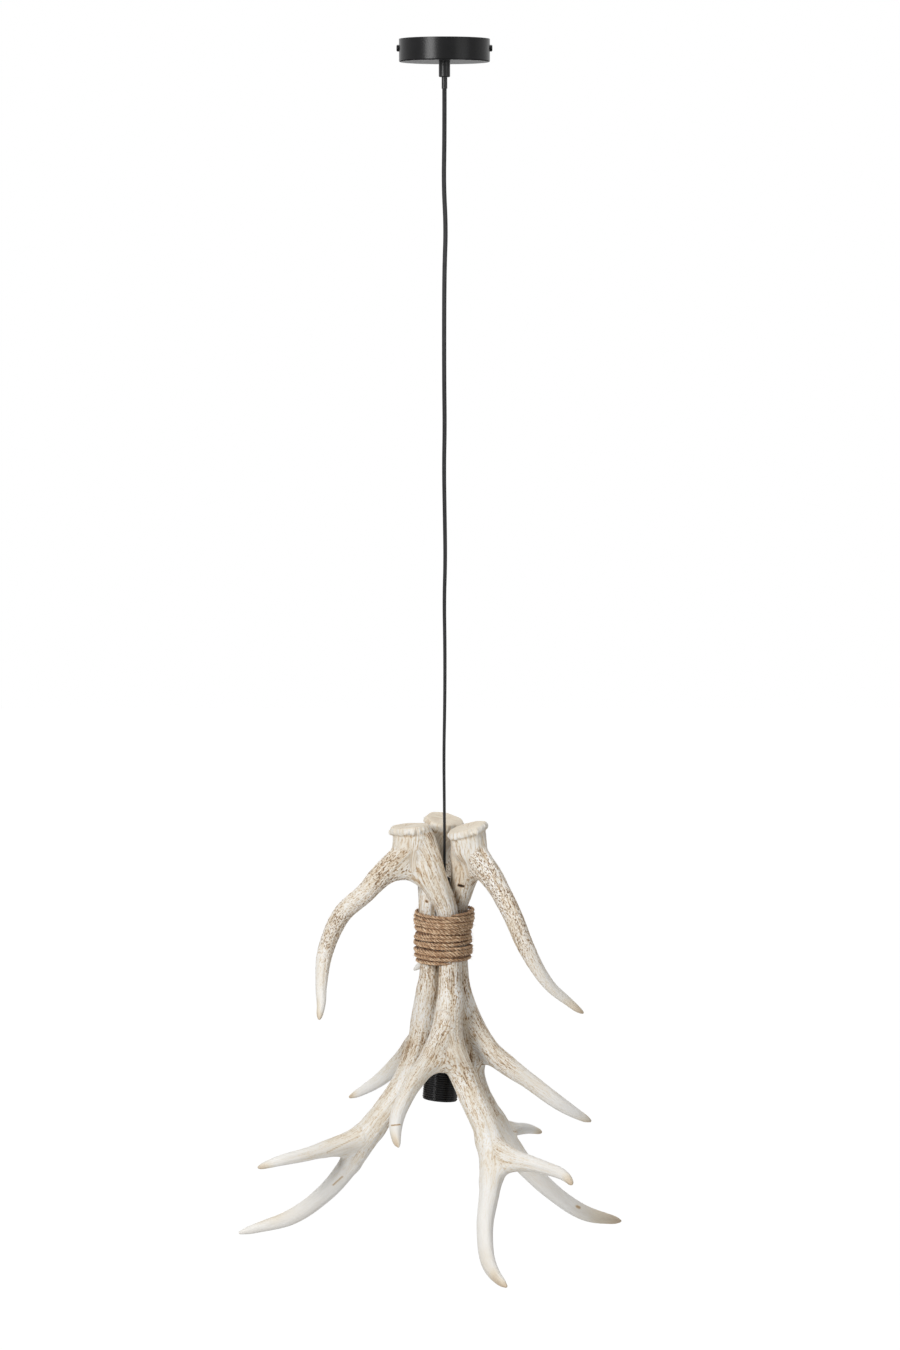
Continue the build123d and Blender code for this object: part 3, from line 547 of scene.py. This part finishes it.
def lattice_noise(u, v, period, seed):
    """Smooth noise over (u, v), from 0 to 1, that repeats every period cells of u."""
    rows = 512
    cells = np.random.default_rng(seed).random((period, rows))
    iu, iv = np.floor(u).astype(int), np.floor(v).astype(int)
    fu, fv = u - iu, v - iv
    fu, fv = fu * fu * (3 - 2 * fu), fv * fv * (3 - 2 * fv)
    corner = lambda a, b: cells[(iu + a) % period, (iv + b) % rows]
    return ((corner(0, 0) * (1 - fu) + corner(1, 0) * fu) * (1 - fv)
            + (corner(0, 1) * (1 - fu) + corner(1, 1) * fu) * fv)


def relief_of(layers, turn, at, number, wander=0.0):
    """Layers of noise over a branch, each with its own cells round it, length and seed."""
    return sum(share * lattice_noise(turn * cells + wander, at / length, cells, seed + number)
               for cells, length, share, seed in layers)


def grain_of(points, paths):
    """How groove, pearl, tip and wash lie at each point, blended where branches meet."""
    shares, grooves, pearls, ends, washed, laid_out = [], [], [], [], [], []
    for number, path in enumerate(paths):
        tree = kdtree.KDTree(len(path["place"]))
        for i, place in enumerate(path["place"]):
            tree.insert(place, i)
        tree.balance()
        nearest = np.array([tree.find(point)[1] for point in points])
        offset = points - path["place"][nearest]
        angle = np.arctan2((offset * path["deep"][nearest]).sum(1),
                           (offset * path["wide"][nearest]).sum(1))
        turn = angle / (2 * math.pi)
        at = path["at"][nearest]
        flesh = path["half"][nearest].mean(1) + (neck_flesh if number == neck_number else 0)
        outside = np.maximum(np.linalg.norm(offset, axis=1) - flesh, 0)
        shares.append(np.exp(-outside / grain_blend))
        cells, length, seed = groove_wander
        wander = lattice_noise(turn * cells, at / length, cells, seed + number) - 0.5
        grooves.append(relief_of(groove_layers, turn, at, number, wander))
        pearls.append(relief_of(pearl_layers, turn, at, number))
        ends.append(np.ones(len(points)) if number == neck_number else 1 - at / path["at"][-1])
        least, over, most = wash_fade[number]
        washed.append(most * np.clip((ends[-1] - least) / over, 0, 1))
        laid_out.append(np.stack([grain_radius * np.cos(angle), grain_radius * np.sin(angle),
                                  at + branch_spacing * number], axis=1))
    shares = np.array(shares) + 1e-9
    shares /= shares.sum(0)
    mix = lambda values: (shares * np.array(values)).sum(0)
    strongest = np.array(laid_out)[shares.argmax(0), np.arange(len(points))]
    return mix(grooves), mix(pearls), mix(ends), mix(washed), shares[brow_number], strongest


def quad_mesh(name, points, quads):
    """A mesh of four-sided faces from arrays, in metres as given."""
    mesh = bpy.data.meshes.new(name)
    mesh.vertices.add(len(points))
    mesh.vertices.foreach_set("co", np.asarray(points, np.float32).ravel())
    mesh.loops.add(len(quads) * 4)
    mesh.polygons.add(len(quads))
    mesh.loops.foreach_set("vertex_index", np.asarray(quads, np.int32).ravel())
    mesh.polygons.foreach_set("loop_start", np.arange(0, len(quads) * 4, 4, dtype=np.int32))
    mesh.update(calc_edges=True)
    mesh.shade_smooth()
    return mesh


def write_value(mesh, name, values):
    """Stores one number, or one place in millimetres, for each point of a mesh."""
    if values.ndim == 1:
        stored = mesh.attributes.new(name, "FLOAT", "POINT").data
        stored.foreach_set("value", values.astype(np.float32))
    else:
        stored = mesh.attributes.new(name, "FLOAT_VECTOR", "POINT").data
        stored.foreach_set("vector", (values * MM).astype(np.float32).ravel())


def smooth_cast(paths):
    """The cast without its grain: points, faces and the directions in which the skin looks."""
    everything = np.concatenate([path["place"] for path in paths])
    low = everything.min(0) - grid_margin
    size = np.ceil((everything.max(0) + grid_margin - low) / voxel).astype(int)
    whole = branch_field(paths[0], low, size)
    for path, (_, width) in zip(paths[1:], branches[1:]):
        whole = join(whole, branch_field(path, low, size), width)
    add_burr(whole, low)
    grid = openvdb.FloatGrid(background=reach)
    grid.copyFromArray(np.ascontiguousarray(whole, dtype=np.float32))
    points, _, quads = grid.convertToPolygons(0.0, 0.0)
    points = points * voxel + low
    plain = quad_mesh("antler_plain", points, quads)
    normals = np.zeros(len(points) * 3, np.float32)
    plain.vertices.foreach_get("normal", normals)
    bpy.data.meshes.remove(plain)
    return points, quads, normals.reshape(-1, 3).astype(float)


def antler_cast():
    """The mould's skin: points, faces, the values that the material reads, and the grain."""
    paths = [smooth_path(stations) for stations, _ in branches]
    points, quads, normals = smooth_cast(paths)
    groove, pearl, to_tip, washed, on_brow, grain = grain_of(points, paths[:grained])
    height = (points - np.array(burr_centre)) @ np.array(burr_axis)
    near_burr = points[:, 2] > burr_centre.z - burr_zone
    sawn = rise(height, *saw_edge) * near_burr
    on_plate = rise(height, -burr_thickness, burr_rounding - burr_thickness) * near_burr
    # painted shade: a dark band in the corner just under the burr plate, carried in with the wash
    in_plate_shadow = points[:, 2] > burr_centre.z - plate_shadow_zone
    shade_under_plate = np.exp(-((height + burr_thickness + 0.6) / 1.3) ** 2) * in_plate_shadow
    root = rise(to_tip, 0.8, 0.95)
    # the brow tine is the most pearled, and every tip is smooth
    pearled = np.clip((on_brow * 0.9 + 0.25) * np.clip(to_tip * 2.4, 0, 1), 0, 1) * (1 - sawn)
    grooved = np.clip(to_tip * 3.2, 0.06, 1) * (1 - sawn) * (1 - 0.7 * on_plate)
    cut = (groove_depth + root_groove_depth * root) * grooved * np.clip(0.55 - groove, -0.25, 0.4)
    cut -= pearl_height * pearled * (pearl - 0.5)
    # the wash stays in grooves, between pearls and in the cracks of its rim, and painted shade darkens
    # the corner under the plate
    rim_cracks = on_plate * (1 - sawn) * np.clip(0.47 - pearl, 0, 1)
    wash_and_shade = ((0.5 - groove) * 3.4 * grooved + (0.45 - pearl) * 1.6 * pearled
            + 0.85 * shade_under_plate + 9 * rim_cracks)
    values = {"wash_and_shade": np.clip(wash_and_shade, 0, 1), "tip": to_tip, "washed": washed * (1 - 0.4 * on_plate),
              "pearled": pearled, "sawn": sawn}
    return points - normals * cut[:, None], quads, values, grain


def on_photo(points):
    """Where points, in metres, lie on the photograph in pixels, and how far off they are."""
    pitch = math.radians(camera_pitch)
    x, y, z = (points - np.array(camera_place)).T
    far = y * math.cos(pitch) - z * math.sin(pitch)
    up = z * math.cos(pitch) + y * math.sin(pitch)
    return picture_width / 2 + focal_pixels * x / far, picture_height / 2 - focal_pixels * up / far, far


def scar_depth(points, marks):
    """How dark the scars of one antler are at each point that the photograph sees."""
    across, down, far = on_photo(points)
    dark = np.zeros(len(points))
    for start, end, half_width, darkness in marks:
        run = np.array(end) - np.array(start)
        right, below = across - start[0], down - start[1]
        share = np.clip((right * run[0] + below * run[1]) / run.dot(run), 0, 1)
        away = np.hypot(right - share * run[0], below - share * run[1])
        in_front = far < far[away < scar_search].min() + scar_layer
        faded = np.clip(scar_edge - away / half_width, 0, 1)
        dark = np.maximum(dark, darkness * faded * in_front)
    return dark


def stand(name, points):
    """The cast's points, in metres, where this antler stands, with its burr turned its own way."""
    turn, lean_x, lean_y, lift = antler_places[name]
    face_x, face_y, face_rise = burr_faces[name]
    rotation = lambda degrees, axis: Matrix.Rotation(math.radians(degrees), 3, axis)
    standing = np.array(rotation(lean_x, "X") @ rotation(lean_y, "Y") @ rotation(turn, "Z"))
    middle = np.array([0, 0, binding_centre])
    placed = (points - middle) @ standing.T + middle + [0, 0, lift]
    centre = (np.array(burr_centre) - middle) @ standing.T + middle + [0, 0, lift]
    axis = Vector(standing @ np.array(burr_axis))
    tilt = np.array(axis.rotation_difference(Vector((face_x, face_y, 1))).to_matrix())
    give = rise((placed - centre) @ np.array(axis), *bending_neck)
    give = (give * give * (3 - 2 * give))[:, None] * (placed[:, 2:] > centre[2] - bending_zone)
    tilted = (placed - centre) @ tilt.T + centre + [0, 0, face_rise]
    return (placed * (1 - give) + tilted * give) * MM


def math_of(tree, operation, *values):
    """Values put together by that operation."""
    inputs = {f"i{place}": value for place, value in enumerate(values)}
    return add_node(tree, "Math", {"operation": operation}, **inputs).outputs[0]


def antler_bone():
    """Chalky bone white, a brown wash in grooves and between pearls, painted shade under the burr
    plate, and smoother, paler ends.
    """
    material, tree, shader = nodes_of("antler_bone")
    read = lambda name: add_node(tree, "Attribute", {"attribute_name": name})
    wash_and_shade, tip, washed, pearled, sawn, scar = [
        read(name).outputs["Fac"] for name in ("wash_and_shade", "tip", "washed", "pearled", "sawn", "scar")]
    grain = read("grain").outputs["Vector"]
    stretched = add_node(tree, "Mapping", Vector=grain, Scale=streak_stretch).outputs[0]
    dashes = add_node(tree, "Mapping", Vector=grain, Scale=fleck_stretch).outputs[0]
    streak = noise(tree, stretched, streak_scale, 2.0)
    fleck = noise(tree, dashes, streak_scale, 2.0)
    patch = noise(tree, dashes, patch_scale, 3.0)
    cloud = noise(tree, grain, cloud_scale, 2.0)
    plus = lambda a, b: math_of(tree, "ADD", a, b)
    times = lambda a, b: math_of(tree, "MULTIPLY", a, b)
    span = lambda value, *limits: span_of(tree, value, *limits)

    # how much wash and painted shade under the burr plate lie here: the mould's grooves, fine streaks
    # and flecks, in uneven patches
    lines = times(span(streak, 0.50, 0.35, 0.0, 1.0), span(pearled, 0.0, 1.0, 0.55, 0.32))
    spots = times(span(fleck, 0.48, 0.35, 0.0, 1.0), span(pearled, 0.1, 0.9, 0.4, 1.1))
    spots = times(spots, span(tip, 0.8, 0.95, 1.0, 0.5))
    covered = times(plus(times(wash_and_shade, 0.3), lines), span(washed, 0.0, 1.0, 0.1, 1.0))
    covered = plus(covered, times(spots, span(washed, 0.0, 1.0, 0.06, 1.0)))
    covered = times(covered, span(patch, 0.34, 0.64, 0.42, 1.25))
    clouds = times(span(cloud, 0.38, 0.62, 0.0, 0.14), span(washed, 0.0, 1.0, 0.2, 1.0))
    covered = times(plus(covered, clouds), span(sawn, 0.0, 1.0, 1.0, 0.4))
    # the stain of the tips, and then what isn't wash: the raw saw face and the scars
    stained = times(span(tip, 0.14, 0.0, 0.0, 0.36), span(cloud, 0.42, 0.58, 0.1, 1.0))
    covered = math_of(tree, "MINIMUM", plus(covered, stained), strongest_wash)
    covered = plus(plus(covered, times(sawn, 0.2)), times(scar, 0.9))

    tree.links.new(ramp(tree, covered, *wash_tints), shader.inputs["Base Color"])
    tree.links.new(span(covered, 0.0, 0.6, 0.5, 0.68), shader.inputs["Roughness"])
    shader.inputs["Specular IOR Level"].default_value = 0.35
    height = plus(times(streak, 0.6), times(fleck, 0.5))
    strength = times(span(tip, 0.05, 0.5, 0.12, 0.9), span(sawn, 0.0, 1.0, 1.0, 0.4))
    strength = times(strength, span(pearled, 0.3, 1.0, 1.0, 0.55))
    relief = add_node(tree, "Bump", Height=height, Strength=strength, Distance=bone_relief)
    tree.links.new(relief.outputs[0], shader.inputs["Normal"])
    return material


bone = antler_bone()
cast_points, cast_quads, cast_values, cast_grain = antler_cast()
for number, name in enumerate(antler_places):
    placed_points = stand(name, cast_points)
    skin = quad_mesh(name + "_skin", placed_points, cast_quads)
    for value_name, values in cast_values.items():
        write_value(skin, value_name, values)
    write_value(skin, "scar", scar_depth(placed_points, scars[name]))
    write_value(skin, "grain", cast_grain + [0, 0, antler_spacing * number])
    link(name + "_skin", skin, bone, "cluster", [name])


# ---------------------------------------------------------------- lampholder
# A black moulded Edison screw 27 holder with a porcelain insert, screwed to the centre tube's
# foot. Its barrel carries the fine outside thread that would take shade rings, and it leans a
# little, because the tube bends under the washer.
holder_lean = math.radians(5.0)
holder_origin = Vector((0, 0, -1.1145))
barrel_radius = 19.6 * MM
barrel_bore = 16.2 * MM
barrel_top = -29.3 * MM
barrel_bottom = -61.5 * MM
lip_bore = 14.4 * MM
lip_height = 2 * MM
thread_pitch = 2.5 * MM
thread_depth = 1.15 * MM
thread_steepness = 3.2           # of a groove's sides: it is 2 / 3.2 of the pitch wide
thread_end = 1.2 * MM            # over which the thread runs out at both ends
thread_end_depth = 0.8           # of the thread's depth, that both ends are turned down
holder_frame = Matrix.Translation(holder_origin) @ Matrix.Rotation(holder_lean, 4, "Y")


def threaded_barrel(around=120, per_turn=10):
    """A tube with a rounded thread outside, a plain bore and a lip at the mouth."""
    turns = [2 * math.pi * i / around for i in range(around)]
    inside = [(lip_bore, barrel_bottom), (lip_bore, barrel_bottom + lip_height),
              (barrel_bore, barrel_bottom + lip_height), (barrel_bore, barrel_top)]
    rings = [[(r * math.cos(a), r * math.sin(a), z) for a in turns] for r, z in reversed(inside)]
    rows = round((barrel_top - barrel_bottom) / thread_pitch * per_turn)
    for row in range(rows + 1):
        z = barrel_bottom + (barrel_top - barrel_bottom) * row / rows
        edge = min(z - barrel_bottom, barrel_top - z, thread_end) / thread_end
        ring = []
        for i, angle in enumerate(turns):
            phase = (z / thread_pitch + i / around) % 1
            groove = max(0.0, 1 - abs(phase - 0.5) * thread_steepness)
            radius = barrel_radius - thread_depth * max(groove, thread_end_depth * (1 - edge))
            ring.append((radius * math.cos(angle), radius * math.sin(angle), z))
        rings.append(ring)
    vertices = [point for ring in rings for point in ring]
    mesh = bpy.data.meshes.new("holder_barrel_thread")
    mesh.from_pydata(vertices, [], tube_faces(len(rings), len(rings), around))
    mesh.transform(holder_frame)
    mesh.shade_smooth()
    return mesh


holder_black = moulded("holder_black", (0.004, 0.004, 0.0045), 0.2, 0.3 * MM, 0.05, specular=0.35)
porcelain = moulded("porcelain", (0.8, 0.79, 0.75), 0.5, 0.6 * MM, 0.1, spread=0.05)
nickel = moulded("nickel", (0.66, 0.63, 0.56), 0.28, 0.5 * MM, 0.1, metallic=1.0, spread=0.1)
link("holder_barrel_thread", threaded_barrel(), holder_black, "cluster",
     ["holder_barrel"])
paint(holder_black, "holder_cap")
paint(canopy_black, "cap_lock_screw")
paint(porcelain, "holder_insert")
paint(nickel, "screw_shell")
paint(brass, "holder_terminals", "centre_contact")


# ---------------------------------------------------------------- jute binding
# Hairy three-ply jute twine, wound fourteen turns over the beams, tight at the waist and fuller
# at both ends, over a first layer of the same twine. Its ends are tucked under their
# neighbours. Sizes are in millimetres.
twine_turns = 14
twine_pitch = 4.03
twine_lift = 1.0                 # of the whole binding
twine_reach = 30.0               # of the twine's middle, on average
twine_swell = 1.9                # more over a beam, and less between two
# How far the binding stands out on either side, as (share of the way down, bulge)
right_bulges = [(0.0, 2.0), (0.13, 3.3), (0.3, 1.3), (0.5, -1.3), (0.62, -0.6), (0.76, 1.5),
                (0.9, 0), (1.0, -1.2)]
left_bulges = [(0.0, 0.0), (0.2, 1.3), (0.48, -0.5), (0.72, 1.2), (0.9, 0.3), (1.0, -0.8)]
lobe_lag = 8.5                   # degrees from the front antler's turn to its bulge of twine
first_lobe = math.radians(antler_places["antler_front"][0] - lobe_lag)
front = math.radians(-95)        # the top turns sag here, and ride up behind
front_sag = 3.0
twine_slant = 0.8                # that a turn's sides stand higher or lower, at most
wander_knots = 96                # of the line by which the twine strays
wander_window = 17               # knots over which its slow part is taken out
swell_wander = (0.4, -1.6, 2.0)  # outwards: share of that line, and the line's limits
drift_wander = (0.75, -2.0, 2.0)  # and upwards
ply_radius = 0.98
ply_offset = 1.12                # of a ply's middle from the twine's
ply_lay = 14.0                   # length in which the plies go round once
ply_lumps = 0.2
fibre_lay = 1.7                  # turns of a ply's fibres in one turn of the plies
layer_depth = 2.2                # of the first layer of twine under the second
layer_drop = 1.0
tuck_length = 16.0
tuck_thinness = 0.35             # of the twine's thickness, at its very end
tuck_depth = 0.06                # of its reach, that the end goes in
ply_spacing = 3000               # between the grains of two plies, so none repeats
fibre_count = 2200
fibre_radius = 0.1
fibre_length = (1.5, 5.5)
fibre_rise = (0.15, 0.55)        # of its length, that a hair stands off
fibre_spread = 1.2               # radians round the twine, to either side of outwards
fibre_stray = 0.35
fibre_shade_reach = 1.2                # how far out the hairs count, so that they get little painted shade
jute_tints = [(0.42, (0.075, 0.034, 0.015)), (0.60, (0.32, 0.17, 0.085)),
              (0.74, (0.58, 0.37, 0.215)), (0.88, (0.90, 0.70, 0.48))]
fibre_stretch = (1, 1, 0.13)
fibre_scale = 700.0
jute_patch_scale = 70.0
jute_relief = 0.5 * MM


def twine_line(inwards=0.0, down=0.0, points=3300):
    """The twine's middle, its distance along itself, and how much of its thickness it has."""
    turns = np.linspace(0, twine_turns, points)
    share = turns / twine_turns
    angle = first_lobe + 2 * math.pi * turns
    wander = np.array([dice.normal(size=wander_knots).cumsum() for _ in range(2)])
    window = np.ones(wander_window) / wander_window
    wander -= np.array([np.convolve(row, window, "same") for row in wander])
    knots = np.linspace(0, twine_turns, wander_knots)
    drift, swell = [np.interp(turns, knots, row) for row in wander]
    strayed = lambda line, wanders: wanders[0] * np.clip(line, *wanders[1:])
    to_right = 0.5 + 0.5 * np.cos(angle)
    bulge = (np.interp(share, *zip(*right_bulges)) * to_right
             + np.interp(share, *zip(*left_bulges)) * (1 - to_right))
    radius = (twine_reach - inwards + twine_swell * np.cos(6 * math.pi * turns) + bulge
              + strayed(swell, swell_wander))
    slant = np.interp(turns, np.arange(twine_turns + 1), dice.uniform(-1, 1, twine_turns + 1))
    slant *= rise(turns, 0.5, 1.5)
    sag = front_sag * np.maximum(0, 1 - 2 * share) * (0.5 + 0.5 * np.cos(angle - front))
    sag += twine_slant * slant * np.cos(angle)
    height = (binding_centre + twine_lift - down + twine_pitch * twine_turns * (0.5 - share) - sag
              + strayed(drift, drift_wander))
    middle = np.stack([radius * np.cos(angle), radius * np.sin(angle), height], axis=1)
    along = np.concatenate([[0], np.cumsum(np.linalg.norm(np.diff(middle, axis=0), axis=1))])
    from_end = np.minimum(along, along[-1] - along)
    full = np.clip(tuck_thinness + (1 - tuck_thinness) * from_end / tuck_length, 0, 1)
    middle[:, :2] *= (1 - tuck_depth * (1 - full))[:, None]
    return middle, along, full


def ply_tubes(middle, along, full, sides=9):
    """Three plies that twist round each other, as quads, and how far out each point stands, which the
    material turns into painted shade.
    """
    heading = unit(np.gradient(middle, axis=0))
    outward = middle * [1, 1, 0]
    outward = unit(outward - heading * (outward * heading).sum(1)[:, None])
    upward = np.cross(heading, outward)
    count = len(middle)
    rows = np.arange(count - 1)[:, None] * sides
    columns = np.arange(sides)[None, :]
    following = (columns + 1) % sides
    faces = np.stack([rows + columns, rows + following,
                      rows + sides + following, rows + sides + columns], axis=-1).reshape(-1, 4)
    flat_turn = np.broadcast_to(2 * math.pi * (np.arange(sides) / sides), (count, sides))
    middle_reach = np.linalg.norm(middle[:, None, :2], axis=-1)
    points, quads, grain, shown = [], [], [], []
    for ply in range(3):
        twist = 2 * math.pi * (along / ply_lay + ply / 3)
        centre = middle + ply_offset * full[:, None] * (
            np.cos(twist)[:, None] * outward + np.sin(twist)[:, None] * upward)
        lumps = np.convolve(dice.normal(size=count), np.ones(5) / 5, "same")
        radius = ply_radius * full * (1 + ply_lumps * lumps)
        spoke = 2 * math.pi * np.arange(sides) / sides + twist[:, None] * fibre_lay
        ring = centre[:, None] + radius[:, None, None] * (
            np.cos(spoke)[..., None] * outward[:, None] + np.sin(spoke)[..., None] * upward[:, None])
        length = np.broadcast_to(along[:, None] + ply_spacing * ply, (count, sides))
        points.append(ring.reshape(-1, 3))
        quads.append(faces + ply * count * sides)
        grain.append(np.stack([np.cos(flat_turn), np.sin(flat_turn), length], axis=-1).reshape(-1, 3))
        # how far out each point stands beyond the twine's middle, from which the material paints shade
        # in the hollows
        shown.append((np.linalg.norm(ring[..., :2], axis=-1) - middle_reach).ravel())
    return [np.concatenate(parts) for parts in (points, quads, grain, shown)]


def loose_fibres(middle, sides=3, rings=4):
    """Short hairs that stand off the twine, each a thin curved rod."""
    picks = dice.integers(20, len(middle) - 20, fibre_count)
    heading = unit(middle[picks + 1] - middle[picks])
    outward = unit(middle[picks] * [1, 1, 0])
    upward = np.cross(heading, outward)
    round_it = dice.uniform(-fibre_spread, fibre_spread, fibre_count)[:, None]
    away = np.cos(round_it) * outward + np.sin(round_it) * upward
    root = middle[picks] + away * (ply_offset + ply_radius * 0.6)
    length = dice.uniform(*fibre_length, fibre_count)[:, None]
    lean = dice.choice([-1, 1], fibre_count)[:, None] * heading
    lean = lean + dice.normal(0, fibre_stray, (fibre_count, 3))
    share = np.linspace(0, 1, rings)[None, :, None]
    stand_off = length * away * dice.uniform(*fibre_rise, (fibre_count, 1))
    spine = root[:, None] + (length * lean)[:, None] * share * 0.8 + stand_off[:, None] * share ** 1.5
    radius = fibre_radius * (1 - 0.7 * share)
    spoke = 2 * math.pi * np.arange(sides) / sides
    ring = spine[:, :, None] + radius[:, :, None] * (
        np.cos(spoke)[:, None] * away[:, None, None] + np.sin(spoke)[:, None] * upward[:, None, None])
    start = np.arange(fibre_count)[:, None, None] * rings + np.arange(rings - 1)[None, :, None]
    start = start * sides
    column = np.arange(sides)
    after = (column + 1) % sides
    quads = np.stack([start + column, start + after, start + sides + after, start + sides + column],
                     axis=-1)
    return ring.reshape(-1, 3), quads.reshape(-1, 4)


def jute():
    """Straw and tan fibres along each ply, with painted shade in the hollows between the plies and
    under the outer layer.
    """
    material, tree, shader = nodes_of("jute_twine")
    grain = add_node(tree, "Attribute", {"attribute_name": "grain"}).outputs["Vector"]
    shown = add_node(tree, "Attribute", {"attribute_name": "shown"}).outputs["Fac"]
    combed = add_node(tree, "Mapping", Vector=grain, Scale=fibre_stretch).outputs[0]
    fibres = noise(tree, combed, fibre_scale, 4.0, 0.7)
    patch = noise(tree, grain, jute_patch_scale, 3.0)
    shade = math_of(tree, "MULTIPLY_ADD", patch, 0.45, fibres)
    # painted shade: darker where the twine lies deeper in, between the plies and in the first layer
    shade = math_of(tree, "ADD", shade, span_of(tree, shown, -0.6, 1.7, -0.17, 0.04))
    tree.links.new(ramp(tree, shade, *jute_tints), shader.inputs["Base Color"])
    shader.inputs["Roughness"].default_value = 0.9
    shader.inputs["Specular IOR Level"].default_value = 0.15
    shader.inputs["Sheen Weight"].default_value = 0.25
    shader.inputs["Sheen Roughness"].default_value = 0.5
    relief = add_node(tree, "Bump", Height=fibres, Strength=0.8, Distance=jute_relief)
    tree.links.new(relief.outputs[0], shader.inputs["Normal"])
    return material


def jute_piece(name, points, quads, grain, shown, replaced=()):
    """A piece of jute from its points in millimetres, with the values that the material reads."""
    mesh = quad_mesh(name, points * MM, quads)
    write_value(mesh, "grain", grain)
    write_value(mesh, "shown", shown)
    link(name, mesh, jute_fibre, "cluster", replaced)


jute_fibre = jute()
twine_middle, twine_along, twine_full = twine_line()
outer = ply_tubes(twine_middle, twine_along, twine_full)
inner = ply_tubes(*twine_line(inwards=layer_depth, down=layer_drop))
inner[1] += len(outer[0])
# the first layer counts as lying deeper, so it gets more painted shade
inner[3] -= layer_depth
both = [np.concatenate(layers) for layers in zip(outer, inner)]
jute_piece("jute_binding_twine", *both, ["jute_binding"])
hair_points, hair_quads = loose_fibres(twine_middle)
hair_shade_reach = np.full(len(hair_points), fibre_shade_reach)
jute_piece("jute_binding_fibres", hair_points, hair_quads, hair_points, hair_shade_reach)


# ---------------------------------------------------------------- studio
# A white sweep with a pale floor well below the lamp, and three large soft lights in front and
# above. The camera and reflections see plain white behind it, which gives only faint light.
surround_strength = 0.17         # what the background adds to the light
floor_height = -2.1
floor_corners = [(-9, -9), (9, -9), (9, 16), (-9, 16)]
floor_whitening = 0.85           # of the floor that the camera sees as plain white
floor_glow = 1.16
lamp_middle = (0, 0, -1.05)
softboxes = [                    # name, place, width, watts
    ("key", (-1.9, -2.6, 0.4), 1.3, 80),
    ("fill", (2.4, -2.4, -0.6), 1.8, 21),
    ("top", (0.2, 0.3, 1.4), 1.6, 26),
]

world = bpy.data.worlds.new("studio")
world.use_nodes = True
tree = world.node_tree
backdrop = tree.nodes["Background"]
backdrop.inputs["Color"].default_value = (1, 1, 1, 1)
backdrop.inputs["Strength"].default_value = 1.0
surround = add_node(tree, "Background", Color=(1, 1, 1, 1), Strength=surround_strength)
rays = add_node(tree, "LightPath").outputs
seen = math_of(tree, "MAXIMUM", rays["Is Camera Ray"], rays["Is Glossy Ray"])
seen = math_of(tree, "MAXIMUM", seen, rays["Is Transmission Ray"])
chosen = add_node(tree, "MixShader", i0=seen, i1=surround.outputs[0], i2=backdrop.outputs[0])
tree.links.new(chosen.outputs[0], tree.nodes["World Output"].inputs[0])
bpy.context.scene.world = world

floor_mesh = bpy.data.meshes.new("floor")
floor_mesh.from_pydata([(x, y, floor_height) for x, y in floor_corners], [], [(0, 1, 2, 3)])
floor = add_object("floor", floor_mesh)
white, tree, shader = nodes_of("floor_white")
shader.inputs["Base Color"].default_value = (0.85, 0.85, 0.85, 1)
shader.inputs["Roughness"].default_value = 0.9
glow = add_node(tree, "Emission", Color=(1, 1, 1, 1), Strength=floor_glow)
by_camera = add_node(tree, "LightPath").outputs["Is Camera Ray"]
whitened = math_of(tree, "MULTIPLY", by_camera, floor_whitening)
chosen = add_node(tree, "MixShader", i0=whitened, i1=shader.outputs[0], i2=glow.outputs[0])
tree.links.new(chosen.outputs[0], tree.nodes["Material Output"].inputs[0])
floor_mesh.materials.append(white)
floor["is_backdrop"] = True

for name, place, width, watts in softboxes:
    light = bpy.data.lights.new(name, "AREA")
    light.shape = "SQUARE"
    light.size = width
    light.energy = watts
    lamp = add_object(name, light)
    lamp.location = place
    lamp.rotation_euler = (Vector(lamp_middle) - Vector(place)).to_track_quat("-Z", "Y").to_euler()

bpy.context.scene.view_settings.view_transform = "Standard"

{"cad": cad_box, "visual": [list(corner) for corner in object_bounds()]}
